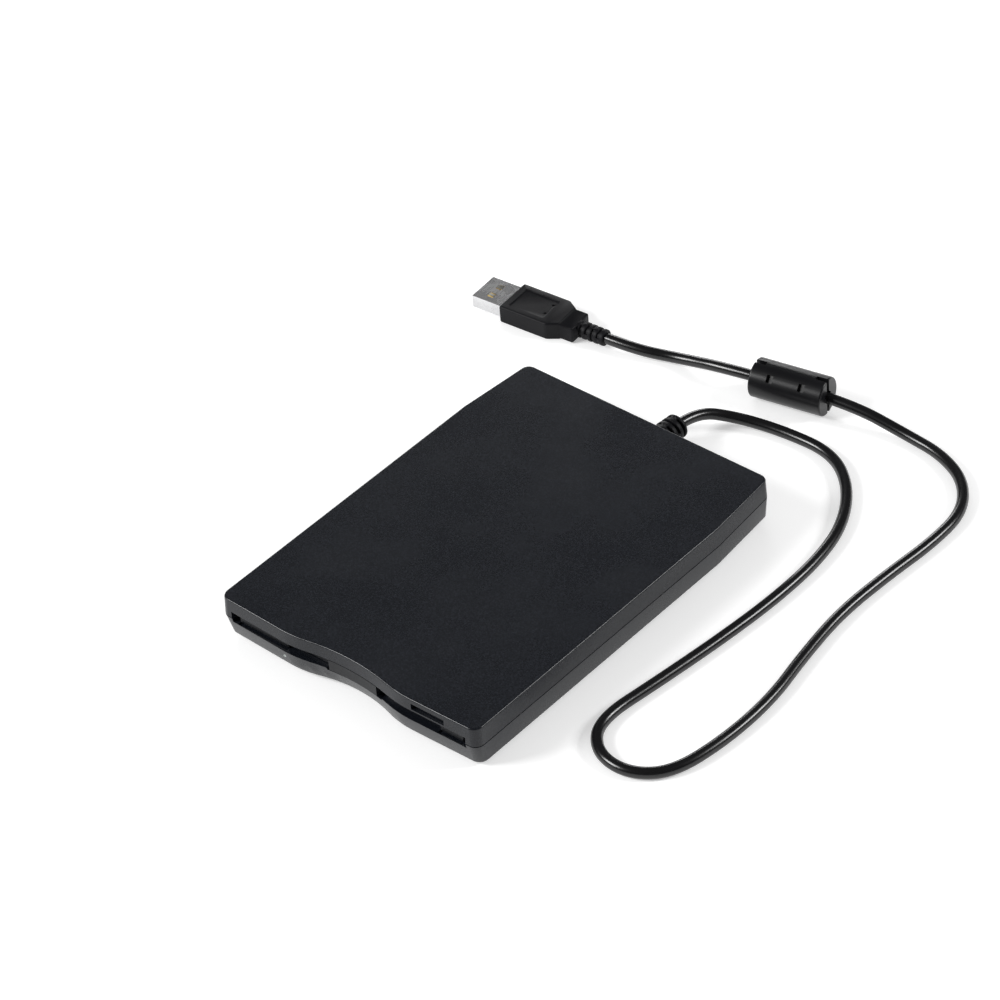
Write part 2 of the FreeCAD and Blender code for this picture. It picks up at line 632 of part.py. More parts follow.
def make_bottom_case():
    """Lower half of the case, with its posts, pads and the cord's seat."""
    high = PART_Z - GROOVE / 2
    wall = Part.makeLoft([outline(LVL_LOW, LOW_EDGE_Z), outline(LVL_PART, high)], True, True)
    base = Part.makeLoft([outline(LVL_LOW, FOOT_H, LOW_EDGE), outline(LVL_LOW, LOW_EDGE_Z)], True, True)
    body = join([wall, base])
    inside = room(LOW_IN_MID, LOW_MID_HALF_W, LOW_IN_END, FOOT_H + SKIN, CASE_TOP, WALL)
    slot = box(-SLOT_HALF_W, SLOT_HALF_W, FRONT_OUT, FRONT_BACK, SLOT_LOW, CASE_TOP)
    x0 = FINGER_X - NOTCH_HALF_W
    x1 = FINGER_X + NOTCH_HALF_W
    notch = box(x0, x1, FRONT_OUT, NOTCH_BACK, SLOT_LOW - NOTCH_DEPTH, CASE_TOP)
    led = cyl_y(LED_X, FRONT_OUT, FRONT_BACK, LED_Z, LED_R)
    seat_w = LOW_MID_HALF_W + 1.0
    seat = box(-seat_w, seat_w, DISK_FRONT - 0.3, FRONT_BACK, DISK_LOADED_Z - 0.3, CASE_TOP)
    body = cut(body, [inside, slot, notch, led, seat] + pad_troughs())
    adds = [tongue_ring(high - 0.2, high + TONGUE_H, 0.0)]
    floor = FOOT_H + SKIN
    for x, y in drive_screw_points():
        adds.append(cyl(x, y, FOOT_H + 0.1, CH_Z, BOSS_R))
    for x, y in rear_boss_points():
        adds.append(cyl(x, y, FOOT_H + 0.1, REAR_BOSS_Z, BOSS_R))
    for x, y in usb_post_points():
        adds.append(cyl(x, y, floor - 0.1, USB_BOARD_Z, 1.8))
    stop = RELIEF_IN - 0.1
    adds.append(box(RELIEF_X - 5.0, RELIEF_X + 5.0, stop - 1.0, stop, floor - 0.1, RELIEF_Z - 1.0))
    body = join([body] + adds)
    tools = []
    for x, y in drive_screw_points():
        tools.append(cyl(x, y, FOOT_H - 1.0, FOOT_H + SCREW_HEAD_T, SCREW_HEAD_R + FIT))
        tools.append(cyl(x, y, FOOT_H - 1.0, CH_Z + 1.0, DRIVE_SCREW_R))
    for x, y in rear_boss_points():
        tools.append(cyl(x, y, FOOT_H - 1.0, FOOT_H + SCREW_HEAD_T, SCREW_HEAD_R + FIT))
        tools.append(cyl(x, y, FOOT_H - 1.0, REAR_BOSS_Z + 1.0, CASE_SCREW_R))
    for x, y in foot_points():
        tools.append(cyl(x, y, FOOT_H - 1.0, FOOT_H + FOOT_SEAT, FOOT_R + 0.1))
    tools.append(relief_hole())
    return cut(body, tools)


def pad_troughs():
    """Hollows behind the lower lip that the flap's pads swing through."""
    z0 = SLOT_LOW - FLAP_TROUGH
    spans = ((-FLAP_HALF_W, -FLAP_PAD_LEFT), (FLAP_PAD_RIGHT, FLAP_HALF_W))
    return [box(a - FIT, b + FIT, FLAP_TROUGH_FRONT, FRONT_BACK, z0, CASE_TOP) for a, b in spans]


def usb_post_points():
    """Posts under the interface board."""
    y = USB_BOARD[3] - 2.4
    return [(USB_BOARD[0] + 2.5, y), (USB_BOARD[1] - 2.5, y)]


def foot_points():
    """Middles of the four feet."""
    return [(side * x, y) for x, y in (FOOT_FRONT, FOOT_REAR) for side in (-1, 1)]


def make_feet():
    """Four rubber feet in their seats."""
    return group([cyl(x, y, 0.0, FOOT_H + FOOT_SEAT, FOOT_R) for x, y in foot_points()])


def screw(x, y, head_z, shank_top, shank_r):
    """Pan screw seen from below, with a cross recess."""
    head = cyl(x, y, head_z, head_z + SCREW_HEAD_T - 0.1, SCREW_HEAD_R)
    shank = cyl(x, y, head_z, shank_top, shank_r)
    body = join([head, shank])
    top = head_z + SCREW_CROSS_T
    a = box(x - SCREW_CROSS, x + SCREW_CROSS, y - SCREW_CROSS_W, y + SCREW_CROSS_W, head_z - 0.1, top)
    b = box(x - SCREW_CROSS_W, x + SCREW_CROSS_W, y - SCREW_CROSS, y + SCREW_CROSS, head_z - 0.1, top)
    return cut(body, [a, b])


def make_case_screws():
    """The two screws that close the case."""
    return group([screw(x, y, FOOT_H + 0.1, CASE_SCREW_TOP, CASE_SCREW_R) for x, y in rear_boss_points()])


def make_drive_screws():
    """The four short screws that hold the drive."""
    return group([screw(x, y, FOOT_H + 0.1, CH_FLOOR, DRIVE_SCREW_R) for x, y in drive_screw_points()])


# ---------------------------------------------------------------- flap and button
def scoop_y(x):
    """Y of the hollowed front face above the parting line, near the middle."""
    return FRONT_Y + SCOOP - SCOOP * SCOOP_BEND_X / SCOOP_X * (x / SCOOP_BEND_X) ** 2


def make_flap():
    """Slot flap: a thin plate under a hinge sleeve, two end pads and a tab in the middle."""
    back = FLAP_Y + FLAP_T / 2
    parts = [box(-FLAP_HALF_W, FLAP_HALF_W, FLAP_Y - FLAP_T / 2, back, FLAP_LOW, FLAP_Z)]
    for x0, x1 in ((-FLAP_HALF_W, -FLAP_PAD_LEFT), (FLAP_PAD_RIGHT, FLAP_HALF_W)):
        parts.append(box(x0, x1, FLAP_PAD_FRONT, back, FLAP_LOW, FLAP_PAD_TOP))
    parts.append(flap_tab(back))
    parts.append(cyl_x(-FLAP_HALF_W, FLAP_HALF_W, FLAP_Y, FLAP_Z, FLAP_SLEEVE_R))
    body = join(parts)
    bore = cyl_x(-CASE_HALF_W, CASE_HALF_W, FLAP_Y, FLAP_Z, FLAP_ROD_R + SHAFT_PLAY)
    half = FLAP_SPRING_HALF_L + 0.3
    spring_gap = sleeve_gap(-half, half, 2 * FLAP_SLEEVE_R)
    return cut(body, [bore, spring_gap, sleeve_gap(STEM_X0 - 0.3, STEM_X1 + 0.3, FLAP_ROD_R + 0.15)])


def flap_tab(back):
    """Tab in the middle whose face carries on the hollow front of the case."""
    x0 = FINGER_X - FLAP_TAB_HALF_W
    x1 = FINGER_X + FLAP_TAB_HALF_W
    corners = [V(x0, back, FLAP_LOW), V(x0, scoop_y(x0), FLAP_LOW)]
    corners += [V(FINGER_X, scoop_y(FINGER_X), FLAP_LOW), V(x1, scoop_y(x1), FLAP_LOW), V(x1, back, FLAP_LOW)]
    edges = [Part.makeLine(corners[0], corners[1]), Part.Arc(*corners[1:4]).toShape()]
    edges += [Part.makeLine(corners[3], corners[4]), Part.makeLine(corners[4], corners[0])]
    return Part.Face(Part.Wire(edges)).extrude(V(0, 0, FLAP_PAD_TOP - FLAP_LOW))


def sleeve_gap(x0, x1, depth):
    """Cut that leaves the rod free between two places."""
    r = FLAP_SLEEVE_R + 0.4
    return box(x0, x1, FLAP_Y - r, FLAP_Y + r, FLAP_Z - depth, FLAP_Z + r)


def make_flap_rod():
    """Steel rod held in the cover's two lugs."""
    end = FLAP_LUG_IN + FLAP_LUG_T
    return cyl_x(-end, end, FLAP_Y, FLAP_Z, FLAP_ROD_R)


def make_flap_spring():
    """Small torsion coil on the rod in the middle of the flap."""
    base = V(-FLAP_SPRING_HALF_L, FLAP_Y, FLAP_Z)
    return coil(base, V(1, 0, 0), 2 * FLAP_SPRING_HALF_L, FLAP_SPRING_R, FLAP_SPRING_WIRE_R, 0.5)


def make_button():
    """Eject key; its stem runs over the flap's rod and hooks on the slide plate."""
    head = box(BUTTON_X0, BUTTON_X1, BUTTON_FRONT, BUTTON_BACK, BUTTON_Z0, BUTTON_Z1)
    head = head.makeChamfer(BUTTON_EDGE, [e for e in head.Edges if e.BoundBox.YMax < BUTTON_FRONT + 0.01])
    stem = box(STEM_X0, STEM_X1, BUTTON_BACK - 0.2, PLATE_FRONT + STEM_HOOK, STEM_Z0, BUTTON_Z1)
    hook = box(STEM_X0, STEM_X1, PLATE_FRONT, PLATE_FRONT + STEM_HOOK, PLATE_Z + PLATE_T, BUTTON_Z1)
    return join([head, stem, hook])


# ---------------------------------------------------------------- chassis
def make_chassis():
    """Sheet-metal tray of the drive with its walls, guides and saddles."""
    floor = box(-CH_HALF_W, CH_HALF_W, CH_FRONT, CH_REAR, CH_Z, CH_FLOOR)
    side = box(CH_HALF_W - SHEET, CH_HALF_W, CH_FRONT, CH_REAR, CH_Z, CH_WALL_TOP)
    tall = box(CH_HALF_W - SHEET, CH_HALF_W, SHIELD_REAR_Y, CH_REAR, CH_WALL_TOP - 0.1, SHIELD_Z)
    front_post = box(CH_HALF_W - SHEET, CH_HALF_W, CH_FRONT, CH_FRONT + 1.2, CH_WALL_TOP - 0.1, SHIELD_Z)
    rear = box(-CH_HALF_W, CH_HALF_W, CH_REAR - SHEET, CH_REAR, CH_Z, SHIELD_Z)
    stop = box(CH_HALF_W - 5.6, CH_HALF_W - 0.4, SPRING_REAR, SPRING_REAR + SHEET, CH_Z, CH_WALL_TOP)
    parts = [floor, rear] + both(side) + both(tall) + both(front_post) + both(stop)
    for y0 in (ROD_FRONT - 0.4, ROD_REAR - 1.6):
        parts += both(box(ROD_X - 1.8, ROD_X + 1.8, y0, y0 + 2.0, CH_Z, ROD_Z + 0.2))
    for x, y in main_post_points():
        parts.append(cyl(x, y, CH_Z, MAIN_BOARD_Z, 1.5))
    for x, y in shield_screw_points():
        parts.append(box(x - 1.5, x + 1.5, y - 1.5, y + 1.5, CH_Z, SHIELD_Z))
    body = join(parts)
    tools = shield_screw_holes()
    for y in PIN_Y:
        ends = ((y, PIN_Z + FIT), (y, PIN_Z - HOLDER_DROP - FIT))
        tools += both(hull_slot_x(CH_HALF_W - 2.0, CH_HALF_W + 1.0, ends[0], ends[1], PIN_SLOT_R))
    tools.append(box(-CAR_WINDOW, CAR_WINDOW, ROD_FRONT + 1.7, ROD_REAR - 1.7, CH_Z - 1.0, CH_FLOOR + 0.1))
    tools.append(cyl(0.0, SPIN_Y, CH_Z - 1.0, CH_FLOOR + 1.0, BEARING_R))
    tools += both(box(22.5, CH_HALF_W - 11.0, -5.0, SHIELD_REAR_Y - 9.0, CH_Z - 1.0, CH_FLOOR + 0.1))
    tools += both(cyl_y(ROD_X, ROD_FRONT, ROD_REAR, ROD_Z, ROD_R))
    low = MAIN_BOARD_Z + BOARD_T
    tools.append(box(RIBBON_X0 - 1.0, RIBBON_X1 + 1.0, CH_REAR - 2.0, CH_REAR + 1.0, low, low + 3.8))
    for x, y in drive_screw_points():
        tools.append(cyl(x, y, CH_Z - 1.0, CH_FLOOR + 0.1, DRIVE_SCREW_R))
    return cut(body, tools)


def main_post_points():
    """Posts under the drive's logic board."""
    x0, x1, y0 = MAIN_BOARD[:3]
    return [(x, y) for x in (x0 + 2.4, x1 - 2.5) for y in (y0 + 3.0, y0 + 15.5)]


def make_shield():
    """Thin top sheet of the drive with stiffening beads and a head window."""
    top = box(-CH_HALF_W, CH_HALF_W, CH_FRONT, CH_REAR, SHIELD_Z, SHIELD_Z + SHIELD_T)
    tools = [box(-12.0, 12.0, 6.0, 26.0, SHIELD_Z - 1.0, SHIELD_Z + 1.0)]
    return cut(top, tools + shield_screw_holes())


def shield_screw_points():
    """Screws of the top sheet, in the two tall rear corners."""
    return [(-SHIELD_SCREW_X, SHIELD_SCREW_Y), (SHIELD_SCREW_X, SHIELD_SCREW_Y)]


def shield_screw_holes():
    """Holes of the top sheet's screws."""
    return [cyl(x, y, SHIELD_Z - 3.0, SHIELD_Z + 1.0, SHIELD_SCREW_R) for x, y in shield_screw_points()]


def make_shield_screws():
    """Flat screws that hold the top sheet to blocks in the rear corners."""
    out = []
    for x, y in shield_screw_points():
        top = SHIELD_Z + SHIELD_T
        shank = cyl(x, y, SHIELD_Z - 3.0, top, SHIELD_SCREW_R)
        out.append(join([shank, cyl(x, y, top, top + SHIELD_HEAD_T, SHIELD_HEAD_R)]))
    return group(out)


def make_slide_plate():
    """Slide plate: a front bar, two side strips and flanges with cam slots."""
    strip = box(PLATE_STRIP_IN, PLATE_HALF_W, PLATE_FRONT, PLATE_REAR, PLATE_Z, PLATE_Z + PLATE_T)
    bar = box(-PLATE_HALF_W, PLATE_HALF_W, PLATE_FRONT, PLATE_BAR, PLATE_Z, PLATE_Z + PLATE_T)
    flange = box(FLANGE_IN, FLANGE_OUT, PLATE_FRONT + 4.0, PLATE_REAR, FLANGE_LOW, PLATE_Z + 0.1)
    tab = box(SPRING_X - 1.3, FLANGE_OUT, PLATE_REAR - SHEET, PLATE_REAR, SPRING_Z - 1.8, PLATE_Z + 0.1)
    tools = []
    for y in PIN_Y:
        a = (y, PIN_Z)
        b = (y + SLIDE_TRAVEL, PIN_Z - HOLDER_DROP)
        tools += both(hull_slot_x(FLANGE_IN - 0.5, FLANGE_OUT + 0.5, a, b, PIN_SLOT_R))
    low = PLATE_Z - 0.5
    high = PLATE_Z + PLATE_T + 0.5
    tools += both(box(PLATE_STRIP_IN + 2.5, SPRING_X - 0.5, PLATE_BAR + 11.0, -8.0, low, high))
    tools += both(box(PLATE_STRIP_IN - 0.5, SPRING_X - 1.0, PLATE_REAR - 9.8, PLATE_REAR + 1.0, low, high))
    return cut(join([bar] + both(strip) + both(flange) + both(tab)), tools)


def make_slide_springs():
    """Two compression springs that push the slide plate to the front."""
    length = SPRING_REAR - PLATE_REAR - 0.1
    base = V(SPRING_X, PLATE_REAR + 0.05, SPRING_Z)
    return group(both(coil(base, V(0, 1, 0), length, SPRING_COIL_R, SPRING_WIRE_R, SPRING_PITCH)))


def make_holder():
    """Disk holder: plate, side walls and bottom lips, with its windows."""
    plate = box(-HOLD_HALF_W, HOLD_HALF_W, HOLD_FRONT, HOLD_REAR, HOLD_TOP - HOLD_T, HOLD_TOP)
    side = box(HOLD_HALF_W - HOLD_T, HOLD_HALF_W, HOLD_FRONT, HOLD_REAR, HOLD_LOW, HOLD_TOP)
    lip = box(LIP_IN, HOLD_HALF_W, HOLD_FRONT, HOLD_REAR, HOLD_LOW, HOLD_LOW + HOLD_T)
    tab = box(LEVER_TAB_X0, LEVER_X + 4.5, HOLD_REAR - 1.0, LEVER_Y + 3.0, HOLD_TOP - HOLD_T, HOLD_TOP)
    tools = [box(-13.0, 5.0, 1.5, HOLD_REAR + 1.0, HOLD_TOP - 1.0, HOLD_TOP + 1.0)]
    tools.append(cyl(0.0, SPIN_Y, HOLD_TOP - 1.0, HOLD_TOP + 1.0, 14.0))
    tools.append(arc_slot(LEVER_PIN_R + 0.5, HOLD_TOP - 1.0, HOLD_TOP + 1.0))
    tools += both(box(26.0, HOLD_HALF_W - 7.9, HOLD_FRONT + 15.8, -20.0, HOLD_TOP - 1.0, HOLD_TOP + 1.0))
    tools.append(cyl(LEVER_X, LEVER_Y, HOLD_TOP - 1.0, HOLD_TOP + 1.0, LEVER_RIVET_R))
    # the slide plate's spring tabs come forward past the rear corners
    corner_y = PLATE_REAR - SHEET - SLIDE_TRAVEL - 0.7
    corner = box(SPRING_X - 1.7, HOLD_HALF_W + 1.0, corner_y, HOLD_REAR + 1.0, HOLD_LOW - 1.0, HOLD_TOP + 1.0)
    tools += both(corner)
    return cut(join([plate, tab] + both(side) + both(lip)), tools)


def arc_slot(half, z0, z1):
    """Curved slot that the shutter lever's pin runs in."""
    span = LEVER_SWING + 16.0
    outer = Part.makeCylinder(LEVER_R + half, z1 - z0, V(LEVER_X, LEVER_Y, z0), V(0, 0, 1), span)
    inner = cyl(LEVER_X, LEVER_Y, z0 - 1.0, z1 + 1.0, LEVER_R - half)
    ring = outer.cut(inner)
    ring.rotate(V(LEVER_X, LEVER_Y, 0), V(0, 0, 1), LEVER_REST - 8.0)
    return ring


def make_holder_pins():
    """Four riveted pins that run in the cam slots and the lever's riveted pivot."""
    out = [make_lever_pin()]
    for y in PIN_Y:
        out += both(cyl_x(HOLD_HALF_W, CH_HALF_W - 0.1, y, PIN_Z, PIN_R))
    return group(out)


def make_shutter_lever():
    """Lever that the disk swings as it goes in; its pin hangs into the bay."""
    angle = math.radians(LEVER_REST)
    tip = (LEVER_X + LEVER_R * math.cos(angle), LEVER_Y + LEVER_R * math.sin(angle))
    bar = box(0.0, LEVER_R, -LEVER_HALF_W, LEVER_HALF_W, LEVER_Z, LEVER_Z + LEVER_T)
    bar.rotate(V(0, 0, 0), V(0, 0, 1), LEVER_REST)
    bar.translate(V(LEVER_X, LEVER_Y, 0))
    parts = [bar, cyl(LEVER_X, LEVER_Y, LEVER_Z, LEVER_Z + LEVER_T, LEVER_HUB_R)]
    parts.append(cyl(tip[0], tip[1], LEVER_Z, LEVER_Z + LEVER_T, LEVER_HALF_W))
    parts.append(cyl(tip[0], tip[1], LEVER_PIN_LOW, LEVER_Z + 0.1, LEVER_PIN_R))
    return cut(join(parts), [cyl(LEVER_X, LEVER_Y, LEVER_Z - 1.0, LEVER_Z + 2.0, LEVER_RIVET_R + SHAFT_PLAY)])


def make_lever_pin():
    """Riveted pivot of the shutter lever, with a collar under it and a head."""
    low = HOLD_TOP - HOLD_T
    top = LEVER_Z + LEVER_T
    shank = cyl(LEVER_X, LEVER_Y, low, top + 0.1, LEVER_RIVET_R)
    collar = cyl(LEVER_X, LEVER_Y, HOLD_TOP, LEVER_Z - 0.05, LEVER_RIVET_HEAD)
    head = cyl(LEVER_X, LEVER_Y, top + 0.05, top + 0.35, LEVER_RIVET_HEAD)
    return join([shank, collar, head])


# ---------------------------------------------------------------- spindle motor
def make_motor_board():
    """Board under the spindle motor."""
    z0 = CH_FLOOR
    plate = cyl(0.0, SPIN_Y, z0, z0 + MOTOR_BOARD_T, MOTOR_BOARD_R)
    tail = box(-MOTOR_TAIL_HALF_W, MOTOR_TAIL_HALF_W, MOTOR_TAIL_FRONT, SPIN_Y, z0, z0 + MOTOR_BOARD_T)
    return cut(join([plate, tail]), [cyl(0.0, SPIN_Y, z0 - 1.0, z0 + 2.0, BEARING_R)])


def make_coils():
    """Twelve flat coils round the bearing."""
    z0 = CH_FLOOR + MOTOR_BOARD_T
    one = box(COIL_MID_R - 3.6, COIL_MID_R + 3.6, -2.1, 2.1, z0, z0 + 0.9)
    hole = box(COIL_MID_R - 2.0, COIL_MID_R + 2.0, -0.8, 0.8, z0 - 1.0, z0 + 2.0)
    one = one.cut(hole)
    out = []
    for i in range(COIL_COUNT):
        c = one.copy()
        c.rotate(V(0, 0, 0), V(0, 0, 1), i * 360.0 / COIL_COUNT)
        c.translate(V(0, SPIN_Y, 0))
        out.append(c)
    return group(out)


def make_bearing():
    """Sleeve bearing of the spindle, pressed into the frame."""
    body = cyl(0.0, SPIN_Y, CH_Z, BEARING_TOP, BEARING_R)
    return cut(body, [cyl(0.0, SPIN_Y, CH_Z + 0.2, BEARING_TOP + 1.0, SHAFT_R + SHAFT_PLAY)])


def make_shaft():
    """Spindle shaft with the pin that centres the disk."""
    shaft = cyl(0.0, SPIN_Y, CH_Z + 0.25, ROTOR_TOP + HUB_T, SHAFT_R)
    pin = cyl(0.0, SPIN_Y, ROTOR_TOP + HUB_T, CENTRE_PIN_TOP, CENTRE_PIN_R)
    pin = pin.makeChamfer(0.4, [e for e in pin.Edges if e.BoundBox.ZMin > CENTRE_PIN_TOP - 0.01])
    return join([shaft, pin])


def make_rotor():
    """Rotor cup of the spindle motor."""
    cup = cyl(0.0, SPIN_Y, ROTOR_LOW, ROTOR_TOP, ROTOR_R)
    inside = cyl(0.0, SPIN_Y, ROTOR_LOW - 1.0, ROTOR_TOP - ROTOR_SKIN, ROTOR_R - ROTOR_RIM)
    tools = [inside, cyl(0.0, SPIN_Y, ROTOR_LOW, ROTOR_TOP + 1.0, SHAFT_R)]
    for i in range(6):
        a = math.radians(60.0 * i + 30.0)
        tools.append(cyl(15.0 * math.cos(a), SPIN_Y + 15.0 * math.sin(a), ROTOR_LOW, ROTOR_TOP + 1.0, 1.6))
    return cut(cup, tools)


def make_magnet():
    """Magnet ring inside the rotor cup."""
    r1 = ROTOR_R - ROTOR_RIM
    ring = cyl(0.0, SPIN_Y, ROTOR_LOW, ROTOR_TOP - ROTOR_SKIN, r1)
    return cut(ring, [cyl(0.0, SPIN_Y, ROTOR_LOW - 1.0, ROTOR_TOP, r1 - MAGNET_T)])


def make_hub():
    """Magnetic hub plate that the disk's own hub sits on."""
    plate = cyl(0.0, SPIN_Y, ROTOR_TOP, ROTOR_TOP + HUB_T, HUB_R)
    tools = [cyl(0.0, SPIN_Y, ROTOR_TOP - 1.0, ROTOR_TOP + 2.0, SHAFT_R)]
    x0 = DRIVE_PIN_X - 2.6
    x1 = DRIVE_PIN_X + 1.4
    tools.append(box(x0, x1, SPIN_Y - 1.2, SPIN_Y + 1.2, ROTOR_TOP, ROTOR_TOP + 1.0))
    return cut(plate, tools)


def make_drive_pin():
    """Leaf with the pin that catches the slot in the disk's hub."""
    leaf = box(DRIVE_PIN_X - 2.5, DRIVE_PIN_X + 1.3, SPIN_Y - 1.0, SPIN_Y + 1.0, ROTOR_TOP, ROTOR_TOP + 0.3)
    pin = cyl(DRIVE_PIN_X, SPIN_Y, ROTOR_TOP, DRIVE_PIN_TOP, DRIVE_PIN_R)
    return join([leaf, pin])


# ---------------------------------------------------------------- head carriage
def make_rods():
    """Two guide rods in their saddles."""
    return group(both(cyl_y(ROD_X, ROD_FRONT, ROD_REAR, ROD_Z, ROD_R)))


def make_carriage():
    """Carriage: two sleeves, bridge, lower arm, arm block with ears, follower."""
    sleeve = cyl_y(ROD_X, CAR_FRONT, CAR_REAR, ROD_Z, SLEEVE_R)
    bridge = box(-ROD_X, ROD_X, CAR_FRONT + 1.0, CAR_REAR - 1.0, BRIDGE_Z0, BRIDGE_Z1)
    arm = box(-LOW_ARM_HALF_W, LOW_ARM_HALF_W, TRACK0_Y - 2.2, CAR_FRONT + 1.5, 4.4, LOW_ARM_TOP)
    block = box(BLOCK_X0, BLOCK_X1, BLOCK_FRONT, BLOCK_REAR, BRIDGE_Z0, BLOCK_TOP)
    y0 = ARM_PIVOT_Y - EAR_HALF_D
    y1 = ARM_PIVOT_Y + EAR_HALF_D
    ears = [box(x, x + EAR_T, y0, y1, BLOCK_TOP - 0.1, ARM_PIVOT_Z + 1.0) for x in ARM_EARS_X]
    reach = SCREW_Z - SCREW_R + FOLLOWER_IN
    follower = cyl(SCREW_X, FOLLOWER_Y, BRIDGE_Z1 - 0.1, reach, FOLLOWER_R)
    tongue = box(SCREW_X - 1.2, SCREW_X + 1.2, CAR_REAR - 1.5, FOLLOWER_Y + 0.7, 4.6, BRIDGE_Z1)
    flag = box(ROD_X, FLAG_X1, FLAG_Y0, FLAG_Y1, FLAG_Z0, SLEEVE_R + ROD_Z)
    body = join([bridge, arm, block, follower, tongue, flag] + ears + both(sleeve))
    tools = both(cyl_y(ROD_X, CAR_FRONT - 1.0, BLOCK_REAR + 1.0, ROD_Z, ROD_R + SLEEVE_PLAY))
    tools.append(arm_axis())
    return cut(body, tools)


def arm_axis():
    """Pivot pin of the upper arm, from ear to ear."""
    return cyl_x(ARM_EARS_X[0], ARM_EARS_X[1] + EAR_T, ARM_PIVOT_Y, ARM_PIVOT_Z, ARM_PIVOT_R)


def head_block(low, high, z0, z1):
    """Head pad between two heights with its wider seat."""
    y = TRACK0_Y
    w = HEAD_HALF_W
    d = HEAD_HALF_D
    pad = box(-w, w, y - d, y + d, low, high)
    seat = box(-w - HEAD_BASE, w + HEAD_BASE, y - d - HEAD_BASE, y + d + HEAD_BASE, z0, z1)
    return join([pad, seat])


def make_lower_head():
    """Lower magnetic head on the carriage arm."""
    return head_block(LOW_ARM_TOP, LOWER_HEAD_TOP, LOW_ARM_TOP, LOW_ARM_TOP + 0.6)


def lift(shape):
    """Turn a piece of the upper arm up about its pivot to the empty position."""
    shape.rotate(V(0, ARM_PIVOT_Y, ARM_PIVOT_Z), V(1, 0, 0), -ARM_LIFT)
    return shape


def make_upper_arm():
    """Upper head arm with its knuckle and the tongue that the holder lifts."""
    plate = prism(ARM_PLAN, ARM_Z0, ARM_Z1)
    x0 = ARM_PLAN[0][0] - 0.1
    x1 = ARM_PLAN[-1][0] + 0.1
    knuckle = cyl_x(x0, x1, ARM_PIVOT_Y, ARM_PIVOT_Z, KNUCKLE_R)
    joggle = box(WING_X0, ARM_PLAN[5][0], WING_Y0, WING_Y1, ARM_Z0, WING_Z1)
    wing = box(WING_X0, WING_X1, WING_Y0, WING_Y1, WING_Z0, WING_Z1)
    bore = cyl_x(x0 - 1.0, x1 + 1.0, ARM_PIVOT_Y, ARM_PIVOT_Z, ARM_PIVOT_R + SHAFT_PLAY)
    return lift(cut(join([plate, knuckle, joggle, wing]), [bore]))


def make_upper_head():
    """Upper magnetic head under the arm's tip."""
    return lift(head_block(UPPER_HEAD_LOW, ARM_Z0, ARM_Z0 - 0.7, ARM_Z0))


def make_arm_spring():
    """Torsion coil on the arm's pivot, between the outer ear and the knuckle."""
    base = V(ARM_EARS_X[0] + EAR_T + 0.25, ARM_PIVOT_Y, ARM_PIVOT_Z)
    return coil(base, V(1, 0, 0), 1.8, 0.75, 0.16, 0.5)


def make_lead_screw():
    """Lead screw with its helical groove and a front pivot."""
    shaft = cyl_y(SCREW_X, SCREW_FRONT, SCREW_REAR, SCREW_Z, SCREW_R)
    tip = cyl_y(SCREW_X, SCREW_FRONT - SCREW_TIP_L, SCREW_FRONT + 0.1, SCREW_Z, SCREW_TIP_R)
    neck = cyl_y(SCREW_X, SCREW_REAR - 0.1, STEP_FRONT + 1.4, SCREW_Z, SCREW_NECK_R)
    start = SCREW_FRONT - 1.0
    path = Part.makeHelix(SCREW_LEAD, SCREW_REAR + 1.0 - start, SCREW_R)
    disc = Part.Wire([Part.makeCircle(GROOVE_R, V(SCREW_R + GROOVE_OUT, 0, 0), V(0, 1, 0))])
    tool = Part.Wire(path.Edges).makePipeShell([disc], True, True)
    tool.rotate(V(0, 0, 0), V(1, 0, 0), -90.0)
    tool.translate(V(SCREW_X, start, SCREW_Z))
    # the helix starts on +X; it is turned until the groove lies over the follower
    turned = 360.0 * (FOLLOWER_Y - start) / SCREW_LEAD
    tool.rotate(V(SCREW_X, 0, SCREW_Z), V(0, 1, 0), 90.0 - turned)
    return shaft.cut(tool).fuse(tip).fuse(neck)


def make_stepper():
    """Stepper can with its front boss."""
    can = cyl_y(SCREW_X, STEP_FRONT, STEP_REAR, SCREW_Z, STEP_R)
    flat = box(SCREW_X - 6.0, SCREW_X + 6.0, STEP_FRONT - 1.0, STEP_REAR + 1.0, 0.0, CH_FLOOR)
    socket = cyl_y(SCREW_X, STEP_FRONT - 1.0, STEP_FRONT + 1.5, SCREW_Z, SCREW_NECK_R + SHAFT_PLAY)
    x0 = SCREW_X + 3.0
    x1 = SCREW_X + 7.4
    terminal = box(x0, x1, STEP_FRONT + 1.5, STEP_FRONT + 4.5, SCREW_Z - 2.0, SCREW_Z + 2.0)
    return cut(join([can, terminal]), [flat, socket])


